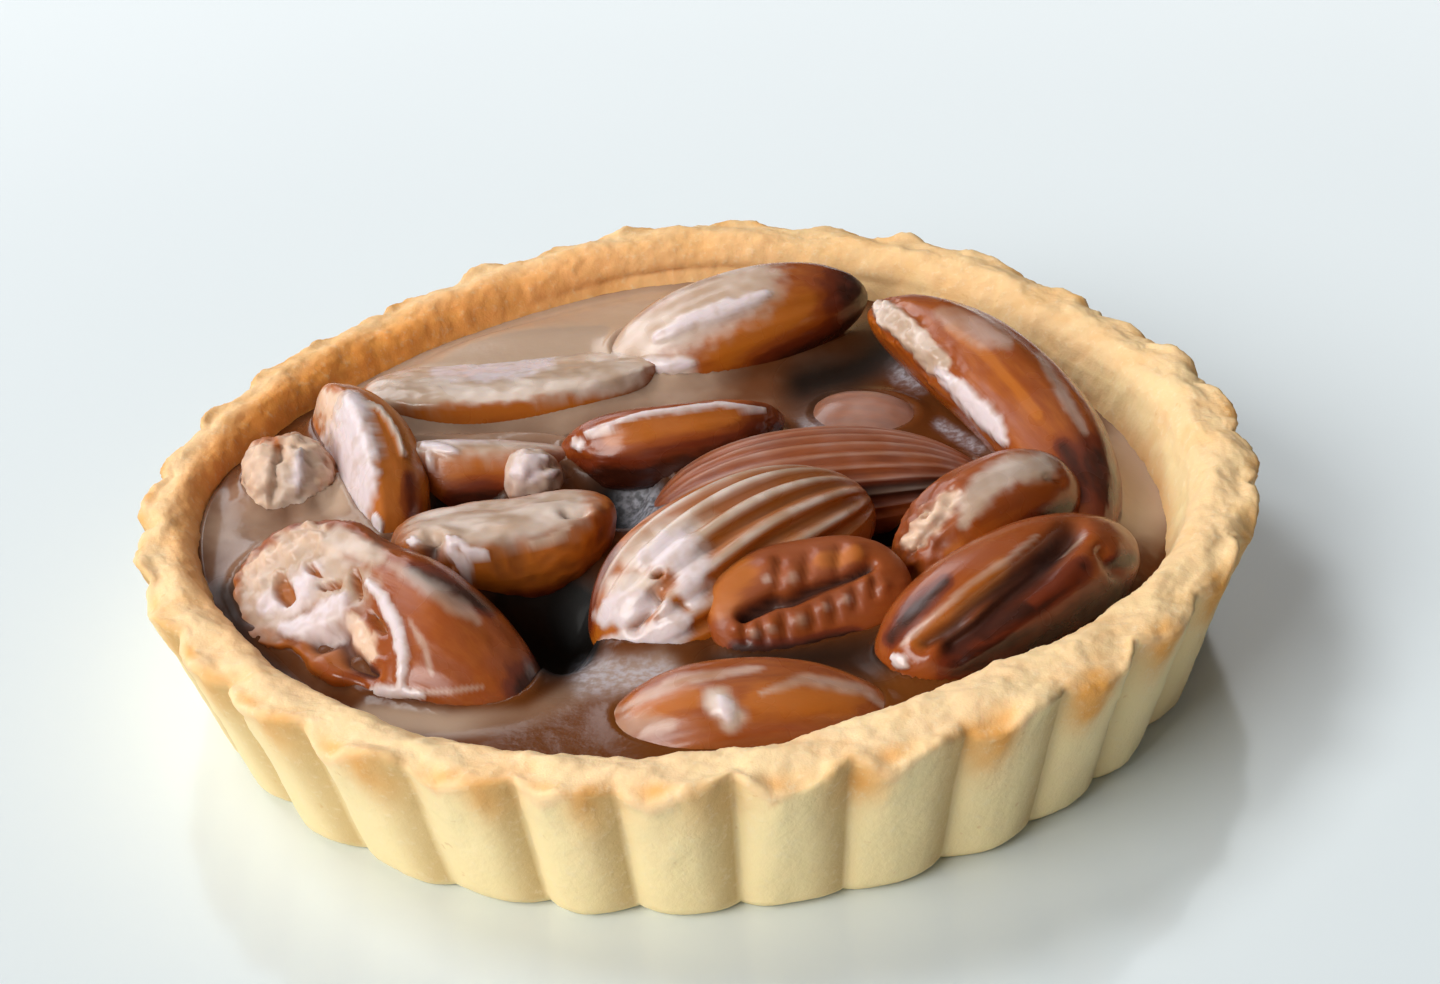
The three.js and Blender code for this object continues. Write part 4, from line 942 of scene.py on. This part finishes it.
# ---------------------------------------------------------------- table, light and camera
# A plain pale table top, a big soft window at the front left and a dimmer one at the back left, a
# small skylight, weak light from overhead and the front, a bright wall behind that only the table
# mirrors, and a camera that looks down on the pie from the front.
table_reach, lamp_distance = 3.0, 4.0
table_tones = (0.80, 0.885, 0.925), (0.825, 0.91, 0.95)
table_top = bpy.data.meshes.new("table_top")
corners = [(x * table_reach, y * table_reach, 0) for x, y in ((-1, -1), (1, -1), (1, 1), (-1, 1))]
table_top.from_pydata(corners, [], [(0, 1, 2, 3)])
table = bpy.data.objects.new("table_top", table_top)
bpy.context.scene.collection.objects.link(table)
pale, tree, shader = finish_named("pale_table", 0.13)
colour = mixed(tree, grain_node(tree, 60.0, 1.0), *table_tones)
tree.links.new(colour, shader.inputs["Base Color"])
table_top.materials.append(pale)


def soft_light(name, heading, rise, width, height, strength, colour):
    """A lamp that faces the pie from that heading and rise in degrees, and how bright it looks."""
    data = bpy.data.lights.new(name, "AREA")
    data.shape, data.size, data.size_y = "RECTANGLE", width, height
    data.energy = strength * math.pi * width * height
    data.color = colour
    lamp = bpy.data.objects.new(name, data)
    bpy.context.scene.collection.objects.link(lamp)
    heading, rise = math.radians(heading), math.radians(rise)
    level = math.cos(rise)
    toward = Vector((level * math.cos(heading), level * math.sin(heading), math.sin(rise)))
    lamp.location = lamp_distance * toward
    lamp.rotation_euler = (-lamp.location).to_track_quat("-Z", "Y").to_euler()
    return lamp


soft_light("left_window", 218, 33, 2.8, 2.4, 6.6, (1.0, 0.99, 0.965))
back_window = soft_light("back_window", 125, 30, 3.0, 2.32, 2.1, (0.90, 0.94, 1.0))
front_fill = soft_light("front_fill", -112, 14, 3.0, 2.0, 1.22, (1.0, 0.94, 0.86))
skylight = soft_light("skylight", 145, 55, 1.3, 1.3, 10.0, (1.0, 1.0, 1.0))
overhead = soft_light("overhead", 100, 84, 4.8, 4.8, 0.4, (1.0, 1.0, 1.0))
skylight.visible_glossy = overhead.visible_glossy = front_fill.visible_glossy = False
bright_wall = soft_light("bright_wall", 97, 30, 9.6, 3.6, 2.0, (0.97, 0.99, 1.0))
bright_wall.visible_diffuse = False
# The wall reaches the table alone, and three lamps leave the table out, so that it stays even.
for lamp in (bright_wall, back_window, front_fill, overhead):
    reached = bpy.data.collections.new(lamp.name + "_reaches")
    reached.objects.link(table)
    lamp.light_linking.receiver_collection = reached
    link = reached.collection_objects[0].light_linking
    link.link_state = "INCLUDE" if lamp == bright_wall else "EXCLUDE"
world = bpy.data.worlds.new("room")
world.use_nodes = True
world.node_tree.nodes["Background"].inputs["Color"].default_value = (1.0, 0.99, 0.97, 1)
world.node_tree.nodes["Background"].inputs["Strength"].default_value = 0.1
world.cycles_visibility.glossy = False
bpy.context.scene.world = world
bpy.context.scene.view_settings.view_transform = "Standard"

camera_data = bpy.data.cameras.new("camera")
camera_data.lens, camera_data.sensor_width = 69.15, 36
camera_data.clip_start, camera_data.clip_end = 0.01, 20
camera = bpy.data.objects.new("camera", camera_data)
bpy.context.scene.collection.objects.link(camera)
camera.location = Vector(eye) * mm
roll = math.radians(-4.4)
camera.rotation_euler = (
    Matrix.Rotation(math.pi / 2 - down_tilt, 3, "X") @ Matrix.Rotation(roll, 3, "Z")
).to_euler()
bpy.context.scene.camera = camera
